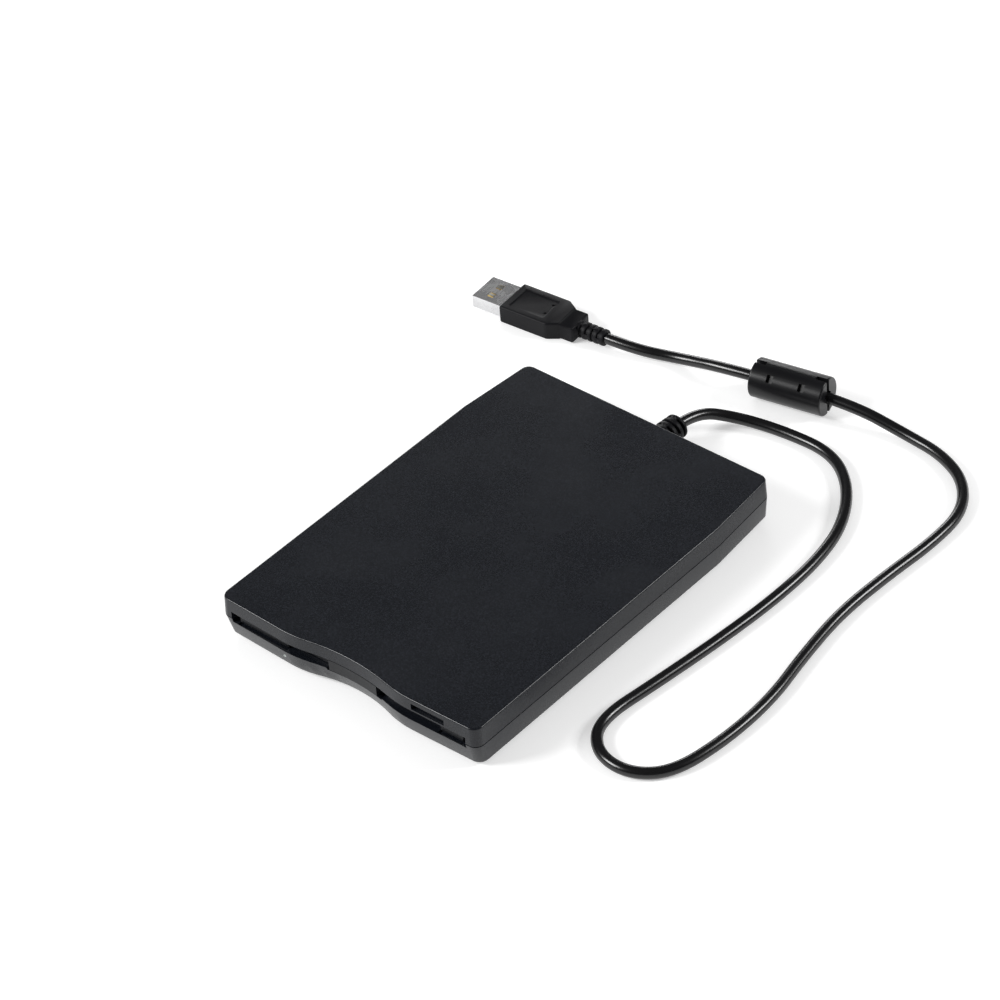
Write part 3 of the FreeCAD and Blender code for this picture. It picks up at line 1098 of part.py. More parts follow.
def make_stepper_bracket():
    """U bracket that holds the stepper and the screw's front end."""
    back = box(SCREW_X - 6.0, SCREW_X + 6.6, STEP_FRONT - SHEET, STEP_FRONT, CH_FLOOR + 2.9, 12.0)
    side = box(SCREW_X + 3.4, SCREW_X + 4.2, SCREW_FRONT - SHEET - 0.2, STEP_FRONT, 6.5, 9.2)
    tip = box(SCREW_X - 2.4, SCREW_X + 4.2, SCREW_FRONT - SHEET - 0.2, SCREW_FRONT - 0.2, 6.5, 9.2)
    leg = box(SCREW_X + 11.2, SCREW_X + 15.0, STEP_FRONT - SHEET, STEP_FRONT, CH_FLOOR, 10.0)
    tie = box(SCREW_X + 6.0, SCREW_X + 15.0, STEP_FRONT - SHEET, STEP_FRONT, 6.9, 10.0)
    foot_top = CH_FLOOR + SHEET
    foot = box(SCREW_X + 11.2, SCREW_X + 15.0, STEP_FRONT - SHEET, STEP_FRONT + 4.0, CH_FLOOR, foot_top)
    body = join([back, side, tip, leg, tie, foot])
    tools = [cyl_y(SCREW_X, SCREW_FRONT - 5.0, SCREW_FRONT + 5.0, SCREW_Z, SCREW_TIP_R + SHAFT_PLAY)]
    tools.append(cyl_y(SCREW_X, SCREW_REAR - 5.0, STEP_FRONT + 1.0, SCREW_Z, SCREW_R + 0.3))
    return cut(body, tools)


def make_track_sensor():
    """Fork that sees the carriage's flag at track zero, on its own post."""
    base = box(FLAG_X1 - 1.4, FLAG_X1 + 2.6, FLAG_Y0 - 0.5, FLAG_Y1 + 0.5, CH_FLOOR, 8.0)
    gap = box(FLAG_X1 - 2.4, FLAG_X1 + 1.2, FLAG_Y0 - 1.0, FLAG_Y1 + 1.0, FLAG_Z0 - 0.5, 6.8)
    return cut(base, [gap])


# ---------------------------------------------------------------- switches and lamp
def make_switch_board():
    """Narrow board across the front of the drive."""
    z0 = CH_FLOOR
    w = SWITCH_BOARD_HALF_W
    return box(-w, w, SWITCH_BOARD_FRONT, SWITCH_BOARD_REAR, z0, z0 + SWITCH_BOARD_T)


def make_switches():
    """Three small switch bodies."""
    z0 = CH_FLOOR + SWITCH_BOARD_T
    h = SWITCH_SIDE / 2
    out = []
    for x in SWITCH_X:
        body = box(x - h, x + h, SWITCH_Y - h, SWITCH_Y + h, z0, SWITCH_TOP)
        out.append(cut(body, [cyl(x, SWITCH_Y, z0 + 0.2, SWITCH_TOP + 1.0, PLUNGER_R + SHAFT_PLAY)]))
    return group(out)


def make_plunger(x):
    """Sprung plunger of one switch."""
    low = CH_FLOOR + SWITCH_BOARD_T + 0.2 + PLUNGER_TRAVEL + 0.05
    pin = cyl(x, SWITCH_Y, low, PLUNGER_TOP, PLUNGER_R)
    return pin.makeChamfer(0.25, [e for e in pin.Edges if e.BoundBox.ZMin > PLUNGER_TOP - 0.01])


def make_led():
    """Lamp body on the switch board."""
    z0 = CH_FLOOR + SWITCH_BOARD_T
    return box(LED_X - LED_HALF_W, LED_X + LED_HALF_W, LED_FRONT, LED_REAR, z0, LED_Z + LED_R)


def make_light_pipe():
    """Clear rod from the lamp to the case front."""
    return cyl_y(LED_X, LIGHT_FRONT, LED_FRONT, LED_Z, LED_R)


# ---------------------------------------------------------------- boards
def make_board(area, z0, holes):
    """Plain board with its screw holes."""
    plate = box(area[0], area[1], area[2], area[3], z0, z0 + BOARD_T)
    return cut(plate, [cyl(x, y, z0 - 1.0, z0 + 2.0, BOARD_HOLE_R) for x, y in holes])


def board_screws(points, z0):
    """Pan screws in a board's holes."""
    top = z0 + BOARD_T
    out = []
    for x, y in points:
        shank = cyl(x, y, z0, top, BOARD_HOLE_R)
        out.append(join([shank, cyl(x, y, top, top + BOARD_HEAD_T, BOARD_HEAD_R)]))
    return out


def make_board_screws():
    """The screws of both boards."""
    main = board_screws(main_post_points(), MAIN_BOARD_Z)
    return group(main + board_screws(usb_post_points(), USB_BOARD_Z))


def make_main_chips():
    """Packages on the logic board."""
    z0 = MAIN_BOARD_Z + BOARD_T
    x0, x1, y0 = MAIN_BOARD[:3]
    out = [box(x0 + 1.2, x0 + 9.2, y0 + 5.4, y0 + 13.4, z0, z0 + 1.2)]
    out.append(box(x1 - 8.9, x1 - 4.5, y0 + 12.0, y0 + 16.0, z0, z0 + 1.0))
    out.append(box(x1 - 8.9, x1 - 5.5, y0 + 6.0, y0 + 9.0, z0, z0 + 1.0))
    out.append(box(x0 + 5.4, x0 + 7.4, y0 + 1.0, y0 + 4.0, z0, z0 + 0.8))
    return group(out)


def make_usb_chips():
    """Packages and the wire header on the interface board."""
    z0 = USB_BOARD_Z + BOARD_T
    x1, y0, y1 = USB_BOARD[1:]
    out = [box(x1 - 26.0, x1 - 18.0, y0 + 1.1, y1 - 1.0, z0, z0 + 1.2)]
    out.append(box(x1 - 31.5, x1 - 28.5, y0 + 1.6, y1 - 2.0, z0, z0 + 2.2))
    out.append(box(RELIEF_X - 4.6, RELIEF_X + 4.6, HEADER_REAR - 3.6, HEADER_REAR, z0, z0 + 3.2))
    return group(out)


def make_ribbon():
    """Flat ribbon between the two boards."""
    z0 = MAIN_BOARD_Z + BOARD_T + RIBBON_LIFT
    return box(RIBBON_X0, RIBBON_X1, RIBBON_Y0, RIBBON_Y1, z0, z0 + RIBBON_T)


def make_ribbon_sockets():
    """The two low sockets that clamp the ribbon."""
    z0 = MAIN_BOARD_Z + BOARD_T
    out = []
    for y0, y1 in ((RIBBON_Y0 - 1.8, RIBBON_Y0 + 1.6), (RIBBON_Y1 - 2.8, RIBBON_Y1 + 0.6)):
        body = box(RIBBON_X0 - 0.9, RIBBON_X1 + 0.9, y0, y1, z0, z0 + SOCKET_H)
        out.append(cut(body, [make_ribbon()]))
    return group(out)


def make_wires():
    """Four wires from the cord's end to the header."""
    z = USB_BOARD_Z + BOARD_T + 2.0
    return group([cyl_y(RELIEF_X + dx, HEADER_REAR, RELIEF_IN, z, WIRE_R) for dx in WIRE_X])


# ---------------------------------------------------------------- cord and what is on it
def make_relief():
    """Ribbed strain relief clamped between the case halves."""
    half = RELIEF_FLANGE
    x0 = RELIEF_X - half
    x1 = RELIEF_X + half
    flange = box(x0, x1, RELIEF_IN, CASE_HALF_D - WALL, RELIEF_Z - half, RELIEF_Z + half)
    start = CASE_HALF_D + 0.3
    neck = cyl_y(RELIEF_X, RELIEF_IN, start + 0.1, RELIEF_Z, RELIEF_NECK_R)
    base = V(RELIEF_X, start, RELIEF_Z)
    cone = Part.makeCone(RELIEF_R0, RELIEF_R1, RELIEF_END - start, base, V(0, 1, 0))
    tools = []
    for i in range(RELIEF_RINGS):
        y = CASE_HALF_D + RELIEF_STEP * (i + 1)
        ring = cyl_y(RELIEF_X, y, y + RELIEF_GAP, RELIEF_Z, 2 * half)
        ring = ring.cut(cyl_y(RELIEF_X, y - 1.0, y + 3.0, RELIEF_Z, RELIEF_CORE_R))
        keep = box(-RELIEF_TIE, RELIEF_TIE, y - 1.0, y + 3.0, -9.0, 9.0)
        keep.translate(V(RELIEF_X, 0, RELIEF_Z))
        keep.rotate(V(RELIEF_X, y, RELIEF_Z), V(0, 1, 0), 90.0 * (i % 2))
        tools.append(ring.cut(keep))
    return cut(join([flange, neck, cone]), tools)


def make_cord():
    """Cord tube: straight runs joined by tangent arcs."""
    pts = [V(*p) for p in CORD_POINTS]
    edges = []
    start = pts[0]
    total = 0.0
    radii = []
    for i in range(1, len(pts) - 1):
        before = pts[i] - pts[i - 1]
        after = pts[i + 1] - pts[i]
        cut_back = ARC_SHARE * min(before.Length, after.Length)
        u = V(before).normalize()
        w = V(after).normalize()
        turn = math.acos(max(-1.0, min(1.0, u.dot(w))))
        a = pts[i] - u * cut_back
        b = pts[i] + w * cut_back
        radius = cut_back / math.tan(turn / 2)
        to_mid = V(w - u).normalize()
        centre = pts[i] + to_mid * (radius / math.cos(turn / 2))
        mid = centre - to_mid * radius
        edges.append(Part.LineSegment(start, a).toShape())
        edges.append(Part.Arc(a, mid, b).toShape())
        total += (a - start).Length + radius * turn
        radii.append(round(radius, 1))
        start = b
    edges.append(Part.LineSegment(start, pts[-1]).toShape())
    total += (pts[-1] - start).Length
    path = Part.Wire(edges)
    disc = Part.Wire([Part.makeCircle(CORD_R, pts[0], pts[1] - pts[0])])
    tube = path.makePipeShell([disc], True, False)
    print("cord radii", radii)
    ideal = math.pi * CORD_R ** 2 * total
    print("cord length %.1f  volume %.1f  section x length %.1f" % (total, tube.Volume, ideal))
    return tube


def on_cord(shape, centre, heading):
    """Set a piece made along +X at a place on the cord."""
    shape.rotate(V(0, 0, 0), V(0, 0, 1), heading)
    shape.translate(centre)
    return shape


def bead_frame():
    """Centre and heading of the bead's run."""
    start = V(*BEAD_RUN_START)
    run = V(*BEAD_RUN_END) - start
    centre = start + V(run).normalize() * BEAD_FROM
    return centre, math.degrees(math.atan2(run.y, run.x))


def bead_cuts():
    """Cut-outs of the bead's shell: windows on both sides and slots in the ends."""
    tools = []
    for x in (-BEAD_WINDOW_X, BEAD_WINDOW_X):
        for angle in (-BEAD_WINDOW_TURN, BEAD_WINDOW_TURN):
            win = box(x - 1.1, x + 1.1, -1.3, 1.3, BEAD_R - 1.2, BEAD_R + 1.0)
            win.rotate(V(0, 0, 0), V(1, 0, 0), angle)
            tools.append(win)
    half = BEAD_SLOT_W / 2
    for x0 in (-BEAD_HALF_L - 1.0, BEAD_HALF_L - BEAD_SLOT_L):
        tools.append(box(x0, x0 + BEAD_SLOT_L + 1.0, -half, half, -BEAD_R - 1.0, BEAD_R + 1.0))
    return tools


def make_bead_half(side):
    """One half of the bead's snap shell; the halves meet in an upright plane."""
    body = Part.makeCylinder(BEAD_R, 2 * BEAD_HALF_L, V(-BEAD_HALF_L, 0, 0), V(1, 0, 0))
    ends = [e for e in body.Edges if e.Curve.TypeId == "Part::GeomCircle"]
    body = body.makeFillet(BEAD_EDGE, ends)
    core = Part.makeCylinder(CORE_R, 2 * CORE_HALF_L, V(-CORE_HALF_L, 0, 0), V(1, 0, 0))
    bore = Part.makeCylinder(BEAD_BORE, 4 * BEAD_HALF_L, V(-2 * BEAD_HALF_L, 0, 0), V(1, 0, 0))
    big = 2 * BEAD_HALF_L
    keep = box(-big, big, min(0.0, side * big), max(0.0, side * big), -big, big)
    half = cut(body.common(keep), [core, bore] + bead_cuts())
    centre, heading = bead_frame()
    return on_cord(half, centre, heading)


def make_bead_core():
    """Ferrite sleeve inside the snap shell."""
    core = Part.makeCylinder(CORE_R, 2 * CORE_HALF_L, V(-CORE_HALF_L, 0, 0), V(1, 0, 0))
    bore = Part.makeCylinder(BEAD_BORE, 4 * BEAD_HALF_L, V(-2 * BEAD_HALF_L, 0, 0), V(1, 0, 0))
    centre, heading = bead_frame()
    return on_cord(core.cut(bore), centre, heading)


def at_plug(shape):
    """Set a piece made along +X (cord end at zero) at the plug."""
    shape.rotate(V(0, 0, 0), V(0, 0, 1), PLUG_AZ)
    shape.translate(V(*CORD_POINTS[-1]))
    return shape


def make_plug_body():
    """Moulded grip of the plug with its ribbed tail."""
    tail = Part.makeCone(TAIL_R0, TAIL_R1, TAIL_L, V(0, 0, 0), V(1, 0, 0))
    tools = []
    for i in range(TAIL_RINGS):
        x = TAIL_FIRST + TAIL_STEP * i
        ring = Part.makeCylinder(2 * TAIL_R1, TAIL_GAP, V(x, 0, 0), V(1, 0, 0))
        ring = ring.cut(Part.makeCylinder(TAIL_CORE_R, 3.0, V(x - 1.0, 0, 0), V(1, 0, 0)))
        keep = box(x - 1.0, x + 3.0, -TAIL_TIE, TAIL_TIE, -9.0, 9.0)
        keep.rotate(V(x, 0, 0), V(1, 0, 0), 90.0 * (i % 2))
        tools.append(ring.cut(keep))
    tail = cut(tail, tools)
    w0 = PLUG_NECK_HALF_W
    neck = box(TAIL_L, PLUG_STEP_L + 1.0, -w0, w0, -PLUG_NECK_HALF_T, PLUG_NECK_HALF_T)
    half = [(PLUG_STEP_L, w0), (PLUG_FULL_L, PLUG_HALF_W), (PLUG_END_L, PLUG_HALF_W)]
    grip = prism(half + [(x, -y) for x, y in reversed(half)], -PLUG_HALF_T, PLUG_HALF_T)
    rim = [e for e in grip.Edges if abs(abs(e.BoundBox.Center.z) - PLUG_HALF_T) < 0.01]
    grip = grip.makeChamfer(PLUG_EDGE, rim)
    w1 = PLUG_HALF_W - PLUG_PANEL_IN
    low = PLUG_HALF_T - PLUG_PANEL_T
    panel_x = PLUG_FULL_L + PLUG_PANEL_IN
    tools = [box(panel_x, PLUG_END_L - PLUG_PANEL_FRONT, -w1, w1, low, PLUG_HALF_T + 1.0)]
    for y in (-PLUG_DIMPLE_Y, PLUG_DIMPLE_Y):
        tools.append(cyl(panel_x + 2 * PLUG_DIMPLE_R, y, low - PLUG_PANEL_T, PLUG_HALF_T, PLUG_DIMPLE_R))
    x0 = PLUG_END_L - SHELL_IN
    tools.append(box(x0, PLUG_END_L + 1.0, -SHELL_HALF_W, SHELL_HALF_W, -SHELL_HALF_T, SHELL_HALF_T))
    return at_plug(cut(join([tail, neck, grip]), tools))


def make_plug_shell():
    """Sheet-metal shell of the plug with its four windows."""
    x0 = PLUG_END_L - SHELL_IN
    x1 = PLUG_END_L + SHELL_OUT
    w = SHELL_HALF_W - SHELL_T
    t = SHELL_HALF_T - SHELL_T
    body = box(x0, x1, -SHELL_HALF_W, SHELL_HALF_W, -SHELL_HALF_T, SHELL_HALF_T)
    tools = [box(x0 + 1.0, x1 + 1.0, -w, w, -t, t)]
    for y in (-3.6, 1.2):
        tools.append(box(x1 - 6.6, x1 - 4.2, y, y + 2.4, -5.0, 5.0))
    return at_plug(cut(body, tools))


def contact_strips(depth, high):
    """The four strips of the plug, down to a depth and up to a height."""
    x0 = PLUG_END_L + 1.0
    x1 = PLUG_END_L + SHELL_OUT - INSERT_BACK - 0.4
    return [box(x0, x1, y - CONTACT_HALF_W, y + CONTACT_HALF_W, -depth, high) for y in CONTACT_Y]


def make_plug_insert():
    """Insulator with its grooves, inside the metal shell."""
    x0 = PLUG_END_L - SHELL_IN + 1.0
    x1 = PLUG_END_L + SHELL_OUT - INSERT_BACK
    w = SHELL_HALF_W - SHELL_T
    body = box(x0, x1, -w, w, SHELL_T - SHELL_HALF_T, 0.0)
    return at_plug(cut(body, contact_strips(CONTACT_GROOVE, 1.0)))


def make_contacts():
    """Four gold strips in the insulator's grooves."""
    return at_plug(group(contact_strips(CONTACT_GROOVE, CONTACT_T - CONTACT_GROOVE)))


def main():
    """Build every node and write it."""
    os.makedirs(OUT_DIR, exist_ok=True)
    save("top_cover", make_top_cover())
    save("bottom_case", make_bottom_case())
    save("rubber_feet", make_feet())
    save("case_screws", make_case_screws())
    save("drive_screws", make_drive_screws())
    save("slot_flap", make_flap())
    save("flap_rod", make_flap_rod())
    save("flap_spring", make_flap_spring())
    save("eject_button", make_button())
    save("drive_chassis", make_chassis())
    save("drive_shield", make_shield())
    save("shield_screws", make_shield_screws())
    save("slide_plate", make_slide_plate())
    save("slide_springs", make_slide_springs())
    save("disk_holder", make_holder())
    save("holder_pins", make_holder_pins())
    save("shutter_lever", make_shutter_lever())
    save("motor_board", make_motor_board())
    save("stator_coils", make_coils())
    save("spindle_bearing", make_bearing())
    save("spindle_shaft", make_shaft())
    save("rotor_cup", make_rotor())
    save("rotor_magnet", make_magnet())
    save("spindle_hub", make_hub())
    save("drive_pin", make_drive_pin())
    save("guide_rods", make_rods())
    save("head_carriage", make_carriage())
    save("lower_head", make_lower_head())
    save("upper_head_arm", make_upper_arm())
    save("upper_head", make_upper_head())
    save("arm_pin", arm_axis())
    save("arm_spring", make_arm_spring())
    save("lead_screw", make_lead_screw())
    save("stepper_motor", make_stepper())
    save("stepper_bracket", make_stepper_bracket())
    save("track_sensor", make_track_sensor())
    save("switch_board", make_switch_board())
    save("switch_bodies", make_switches())
    save("write_protect_plunger", make_plunger(SWITCH_X[0]))
    save("disk_in_plunger", make_plunger(SWITCH_X[1]))
    save("density_plunger", make_plunger(SWITCH_X[2]))
    save("activity_led", make_led())
    save("light_pipe", make_light_pipe())
    save("main_board", make_board(MAIN_BOARD, MAIN_BOARD_Z, main_post_points()))
    save("main_chips", make_main_chips())
    save("usb_board", make_board(USB_BOARD, USB_BOARD_Z, usb_post_points()))
    save("usb_chips", make_usb_chips())
    save("board_screws", make_board_screws())
    save("ribbon_cable", make_ribbon())
    save("ribbon_sockets", make_ribbon_sockets())
    save("cord_wires", make_wires())
    save("cord_relief", make_relief())
    save("usb_cord", make_cord())
    save("bead_front", make_bead_half(1))
    save("bead_rear", make_bead_half(-1))
    save("bead_core", make_bead_core())
    save("plug_body", make_plug_body())
    save("plug_shell", make_plug_shell())
    save("plug_insert", make_plug_insert())
    save("plug_contacts", make_contacts())


main()
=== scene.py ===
"""Looks of the external floppy disk drive: finishes, detailed pieces, studio and camera."""
import json
import logging
import math
from dataclasses import dataclass, field
from enum import Enum
from typing import Callable, Sequence, Union

import bpy
from mathutils import Euler, Matrix, Vector


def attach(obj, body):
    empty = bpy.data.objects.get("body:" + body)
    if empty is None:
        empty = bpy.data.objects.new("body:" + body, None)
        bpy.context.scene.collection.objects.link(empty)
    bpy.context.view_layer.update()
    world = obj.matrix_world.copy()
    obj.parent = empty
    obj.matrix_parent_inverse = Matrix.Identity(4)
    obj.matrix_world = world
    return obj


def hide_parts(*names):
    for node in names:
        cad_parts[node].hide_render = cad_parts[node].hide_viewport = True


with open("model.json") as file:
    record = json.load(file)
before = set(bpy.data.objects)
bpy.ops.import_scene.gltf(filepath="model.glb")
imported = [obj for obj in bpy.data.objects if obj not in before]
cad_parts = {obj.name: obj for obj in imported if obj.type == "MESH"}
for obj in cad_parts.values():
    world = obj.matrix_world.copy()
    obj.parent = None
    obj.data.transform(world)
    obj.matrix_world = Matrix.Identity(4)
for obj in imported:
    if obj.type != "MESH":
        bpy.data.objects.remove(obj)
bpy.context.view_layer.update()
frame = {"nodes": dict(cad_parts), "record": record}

LOG = logging.getLogger("drive")
Point = tuple[float, float, float]
Pair = tuple[float, float]

MM = 0.001
WAVE_PERIOD = 2.0 * math.pi / 20.0  # of the wave texture at scale one
MIX_COLOURS = (6, 7)  # a Mix node's colour inputs
MIX_RESULT = 2  # and its colour output
END_FACE = 0.9  # a normal's share along X that marks an end face
SAME_PLACE = 1e-7  # metres
DOUBLES = 0.002 * MM  # vertices closer than this are merged
CAD_DOUBLES = 0.001 * MM  # the same on a copy of a CAD node
CAD_FLAT = 0.5  # degrees between faces of such a copy that are joined
CAD_SHADING = 30.0  # degrees at an edge that stays sharp on a CAD node
QUARTER_ROUND = (0.0, 22.5, 45.0, 67.5, 90.0)  # degrees along a rounded edge


class Axis(Enum):
    """Axes that bands run across."""

    X = "X"
    Y = "Y"
    Z = "Z"


class Join(Enum):
    """What one piece does to another."""

    CUT = "DIFFERENCE"
    ADD = "UNION"
    KEEP = "INTERSECT"


# ------------------------------------------------------------------ shader maths
class Sock:
    """One output socket of a graph, with arithmetic on it."""

    def __init__(self, graph: "Graph", socket: bpy.types.NodeSocket) -> None:
        """Keep the graph and the socket.

        Args:
            graph: The graph that the socket belongs to.
            socket: The output socket.
        """
        self.graph = graph
        self.socket = socket

    def __add__(self, other: "Value") -> "Sock":
        """Sum of two values."""
        return self.graph.maths("ADD", self, other)

    __radd__ = __add__

    def __mul__(self, other: "Value") -> "Sock":
        """Product of two values."""
        return self.graph.maths("MULTIPLY", self, other)

    __rmul__ = __mul__

    def __gt__(self, other: "Value") -> "Sock":
        """One where this value is the larger, and zero elsewhere."""
        return self.graph.maths("GREATER_THAN", self, other)


Value = Union[Sock, float]


class Graph:
    """A node graph that Python expressions add to."""

    def __init__(self, tree: bpy.types.NodeTree) -> None:
        """Keep the tree.

        Args:
            tree: The node tree of a material or a world.
        """
        self.tree = tree

    def node(self, kind: str, settings: dict[str, object], inputs: dict[Union[str, int], object],
             output: Union[str, int] = 0) -> Sock:
        """Add a node.

        Args:
            kind: The node's type.
            settings: Properties of the node, set first; "stops" are a ramp's places and heights.
            inputs: Values or sockets for its inputs, by name or number.
            output: The output that is wanted, by name or number.

        Returns:
            The wanted output.
        """
        made = self.tree.nodes.new(kind)
        for key, value in settings.items():
            if key == "stops":
                for element, (place, height) in zip(made.color_ramp.elements, value):
                    element.position = place
                    element.color = (height, height, height, 1.0)
            else:
                setattr(made, key, value)
        for key, value in inputs.items():
            self.feed(made.inputs[key], value)
        return Sock(self, made.outputs[output])

    def feed(self, target: bpy.types.NodeSocket, value: object) -> None:
        """Link a socket to an input, or set the input's own value.

        Args:
            target: The input.
            value: A socket, or a value that suits the input.
        """
        if isinstance(value, Sock):
            self.tree.links.new(value.socket, target)
        else:
            target.default_value = value

    def maths(self, operation: str, a: Value, b: Value) -> Sock:
        """Add a Math node for two values."""
        return self.node("ShaderNodeMath", {"operation": operation}, {0: a, 1: b})

    def blend(self, factor: Value, a: object, b: object) -> Sock:
        """Mix two colours.

        Args:
            factor: Share of the second colour.
            a: First colour, three numbers or a socket.
            b: Second colour.

        Returns:
            The mixed colour.
        """
        first, second = MIX_COLOURS
        inputs = {0: factor, first: rgba(a), second: rgba(b)}
        return self.node("ShaderNodeMix", {"data_type": "RGBA"}, inputs, MIX_RESULT)


class Finish(Graph):
    """The graph of one material."""

    def __init__(self, name: str) -> None:
        """Make an empty material with a shader and an output.

        Args:
            name: The material's name.
        """
        self.material = bpy.data.materials.new(name)
        self.material.use_nodes = True
        super().__init__(self.material.node_tree)
        self.tree.nodes.clear()
        self.shader = self.tree.nodes.new("ShaderNodeBsdfPrincipled")
        output = self.tree.nodes.new("ShaderNodeOutputMaterial")
        self.tree.links.new(self.shader.outputs["BSDF"], output.inputs["Surface"])
        self.place = self.node("ShaderNodeTexCoord", {}, {}, "Object")

    def stretched(self, scale: Point) -> Sock:
        """Object coordinates, stretched by a factor along each axis."""
        return self.node("ShaderNodeMapping", {}, {"Vector": self.place, "Scale": scale})

    def noise(self, size: float, detail: float = 2.0, where: Union[Sock, None] = None) -> Sock:
        """Soft noise.

        Args:
            size: Size of one blob in metres.
            detail: Octaves of finer noise.
            where: Coordinates, the object's own by default.

        Returns:
            The noise, about 0.5.
        """
        inputs = {"Vector": where or self.place, "Scale": 1.0 / size, "Detail": detail}
        return self.node("ShaderNodeTexNoise", {}, inputs, "Fac")

    def cells(self, size: float) -> Sock:
        """Random value of each Voronoi cell of a size in metres."""
        return self.node("ShaderNodeTexVoronoi", {}, {"Vector": self.place, "Scale": 1.0 / size}, "Color")

    def bands(self, size: float, axis: Axis) -> Sock:
        """Regular soft bands across one axis.

        Args:
            size: Width of a band and its gap in metres.
            axis: The axis that they follow each other along.

        Returns:
            The wave, from 0 to 1.
        """
        settings = {"wave_type": "BANDS", "bands_direction": axis.value, "wave_profile": "SIN"}
        inputs = {"Vector": self.place, "Scale": WAVE_PERIOD / size, "Distortion": 0.0}
        return self.node("ShaderNodeTexWave", settings, inputs, "Fac")

    def ramp(self, value: Sock, stops: tuple[Pair, Pair]) -> Sock:
        """Remap a value through a ramp between two grey stops."""
        return self.node("ShaderNodeValToRGB", {"stops": stops}, {0: value})

    def bump(self, height: Value, distance: float) -> None:
        """Raise the surface by a share of a distance in metres."""
        self.set(Normal=self.node("ShaderNodeBump", {}, {"Height": height, "Distance": distance}, "Normal"))

    def set(self, **inputs: object) -> None:
        """Set or link inputs of the shader.

        Args:
            inputs: Values or sockets by the input's name, with underscores for spaces.
        """
        for key, value in inputs.items():
            if key in ("Base_Color", "Emission_Color"):
                value = rgba(value)
            self.feed(self.shader.inputs[key.replace("_", " ")], value)


def rgba(value: object) -> object:
    """Give a colour of three numbers its alpha, and leave a socket alone."""
    return value if isinstance(value, Sock) else (*value, 1.0)


def scaled(colour: Point, factor: float) -> Point:
    """Colour made darker or lighter by a factor."""
    return tuple(factor * part for part in colour)


# ------------------------------------------------------------------ finishes
@dataclass(frozen=True)
class Moulded:
    """Moulded plastic or rubber with a fine grain."""

    name: str
    colour: Point
    roughness: float = 0.45
    grain: float = 0.3 * MM
    depth: float = 0.02 * MM
    speckle: float = 0.25
    ior: float = 1.5
    patch: float = 60.0  # size of a paler patch, in grains
    patch_share: float = 0.2
    bloom: float = 0.004  # added to the colour in the palest spots
    dots: tuple[Pair, Pair] = ((0.45, 0.0), (0.72, 1.0))
    polish: float = 0.08
    wear: Pair = (0.1, 0.06)  # of patches and of grains

    def material(self) -> bpy.types.Material:
        """Build the material.

        Returns:
            The material.
        """
        graph = Finish(self.name)
        fine = graph.noise(self.grain, 3.0)
        broad = graph.noise(self.patch * self.grain)
        paler = 1.0 + 2.0 * self.speckle
        pale = tuple(min(1.0, paler * part + self.bloom) for part in self.colour)
        dots = graph.ramp(fine, self.dots)
        graph.set(
            Base_Color=graph.blend(dots * self.speckle + broad * self.patch_share, self.colour, pale),
            Roughness=self.roughness - self.polish + broad * self.wear[0] + fine * self.wear[1],
            IOR=self.ior,
        )
        graph.bump(fine, self.depth)
        return graph.material


@dataclass(frozen=True)
class Jacket:
    """Extruded cord jacket, smooth and glossy."""

    name: str
    colour: Point = (0.004, 0.004, 0.0045)
    roughness: float = 0.2
    ior: float = 1.5
    waves: float = 6 * MM
    grain: float = 0.4 * MM
    depth: float = 0.03 * MM
    paler: float = 1.6
    wear: Pair = (0.06, 0.03)  # of waves and of grains

    def material(self) -> bpy.types.Material:
        """Build the material.

        Returns:
            The material.
        """
        graph = Finish(self.name)
        wavy = graph.noise(self.waves)
        fine = graph.noise(self.grain)
        graph.set(
            Base_Color=graph.blend(wavy, self.colour, scaled(self.colour, self.paler)),
            Roughness=self.roughness + wavy * self.wear[0] + fine * self.wear[1],
            IOR=self.ior,
        )
        graph.bump(wavy, self.depth)
        return graph.material


@dataclass(frozen=True)
class SheetMetal:
    """Plated sheet metal with faint spangle and rolling marks."""

    name: str
    colour: Point = (0.56, 0.57, 0.58)
    roughness: float = 0.34
    spangle: float = 2.2 * MM
    contrast: float = 0.16
    mark: float = 0.5 * MM
    stretch: Point = (1.0, 0.04, 1.0)  # of the rolling marks
    depth: float = 0.004 * MM
    wear: Pair = (0.06, 0.08)  # of the spangle and of the marks

    def material(self) -> bpy.types.Material:
        """Build the material.

        Returns:
            The material.
        """
        graph = Finish(self.name)
        cell = graph.cells(self.spangle)
        drawn = graph.noise(self.mark, 3.0, graph.stretched(self.stretch))
        graph.set(
            Base_Color=graph.blend(cell, self.colour, scaled(self.colour, 1.0 - self.contrast)),
            Metallic=1.0,
            Roughness=self.roughness + cell * self.wear[0] + drawn * self.wear[1],
        )
        graph.bump(drawn, self.depth)
        return graph.material


@dataclass(frozen=True)
class TurnedMetal:
    """Ground or turned metal with fine marks."""

    name: str
    colour: Point
    roughness: float = 0.22
    marks: float = 0.25 * MM
    axis: Axis = Axis.Y
    smear: float = 1.5 * MM
    darker: float = 0.82
    depth: float = 0.002 * MM
    wear: Pair = (0.05, 0.08)  # of the marks and of the smears

    def material(self) -> bpy.types.Material:
        """Build the material.

        Returns:
            The material.
        """
        graph = Finish(self.name)
        rings = graph.bands(self.marks, self.axis)
        smear = graph.noise(self.smear)
        graph.set(
            Base_Color=graph.blend(smear, self.colour, scaled(self.colour, self.darker)),
            Metallic=1.0,
            Roughness=self.roughness + rings * self.wear[0] + smear * self.wear[1],
        )
        graph.bump(rings, self.depth)
        return graph.material


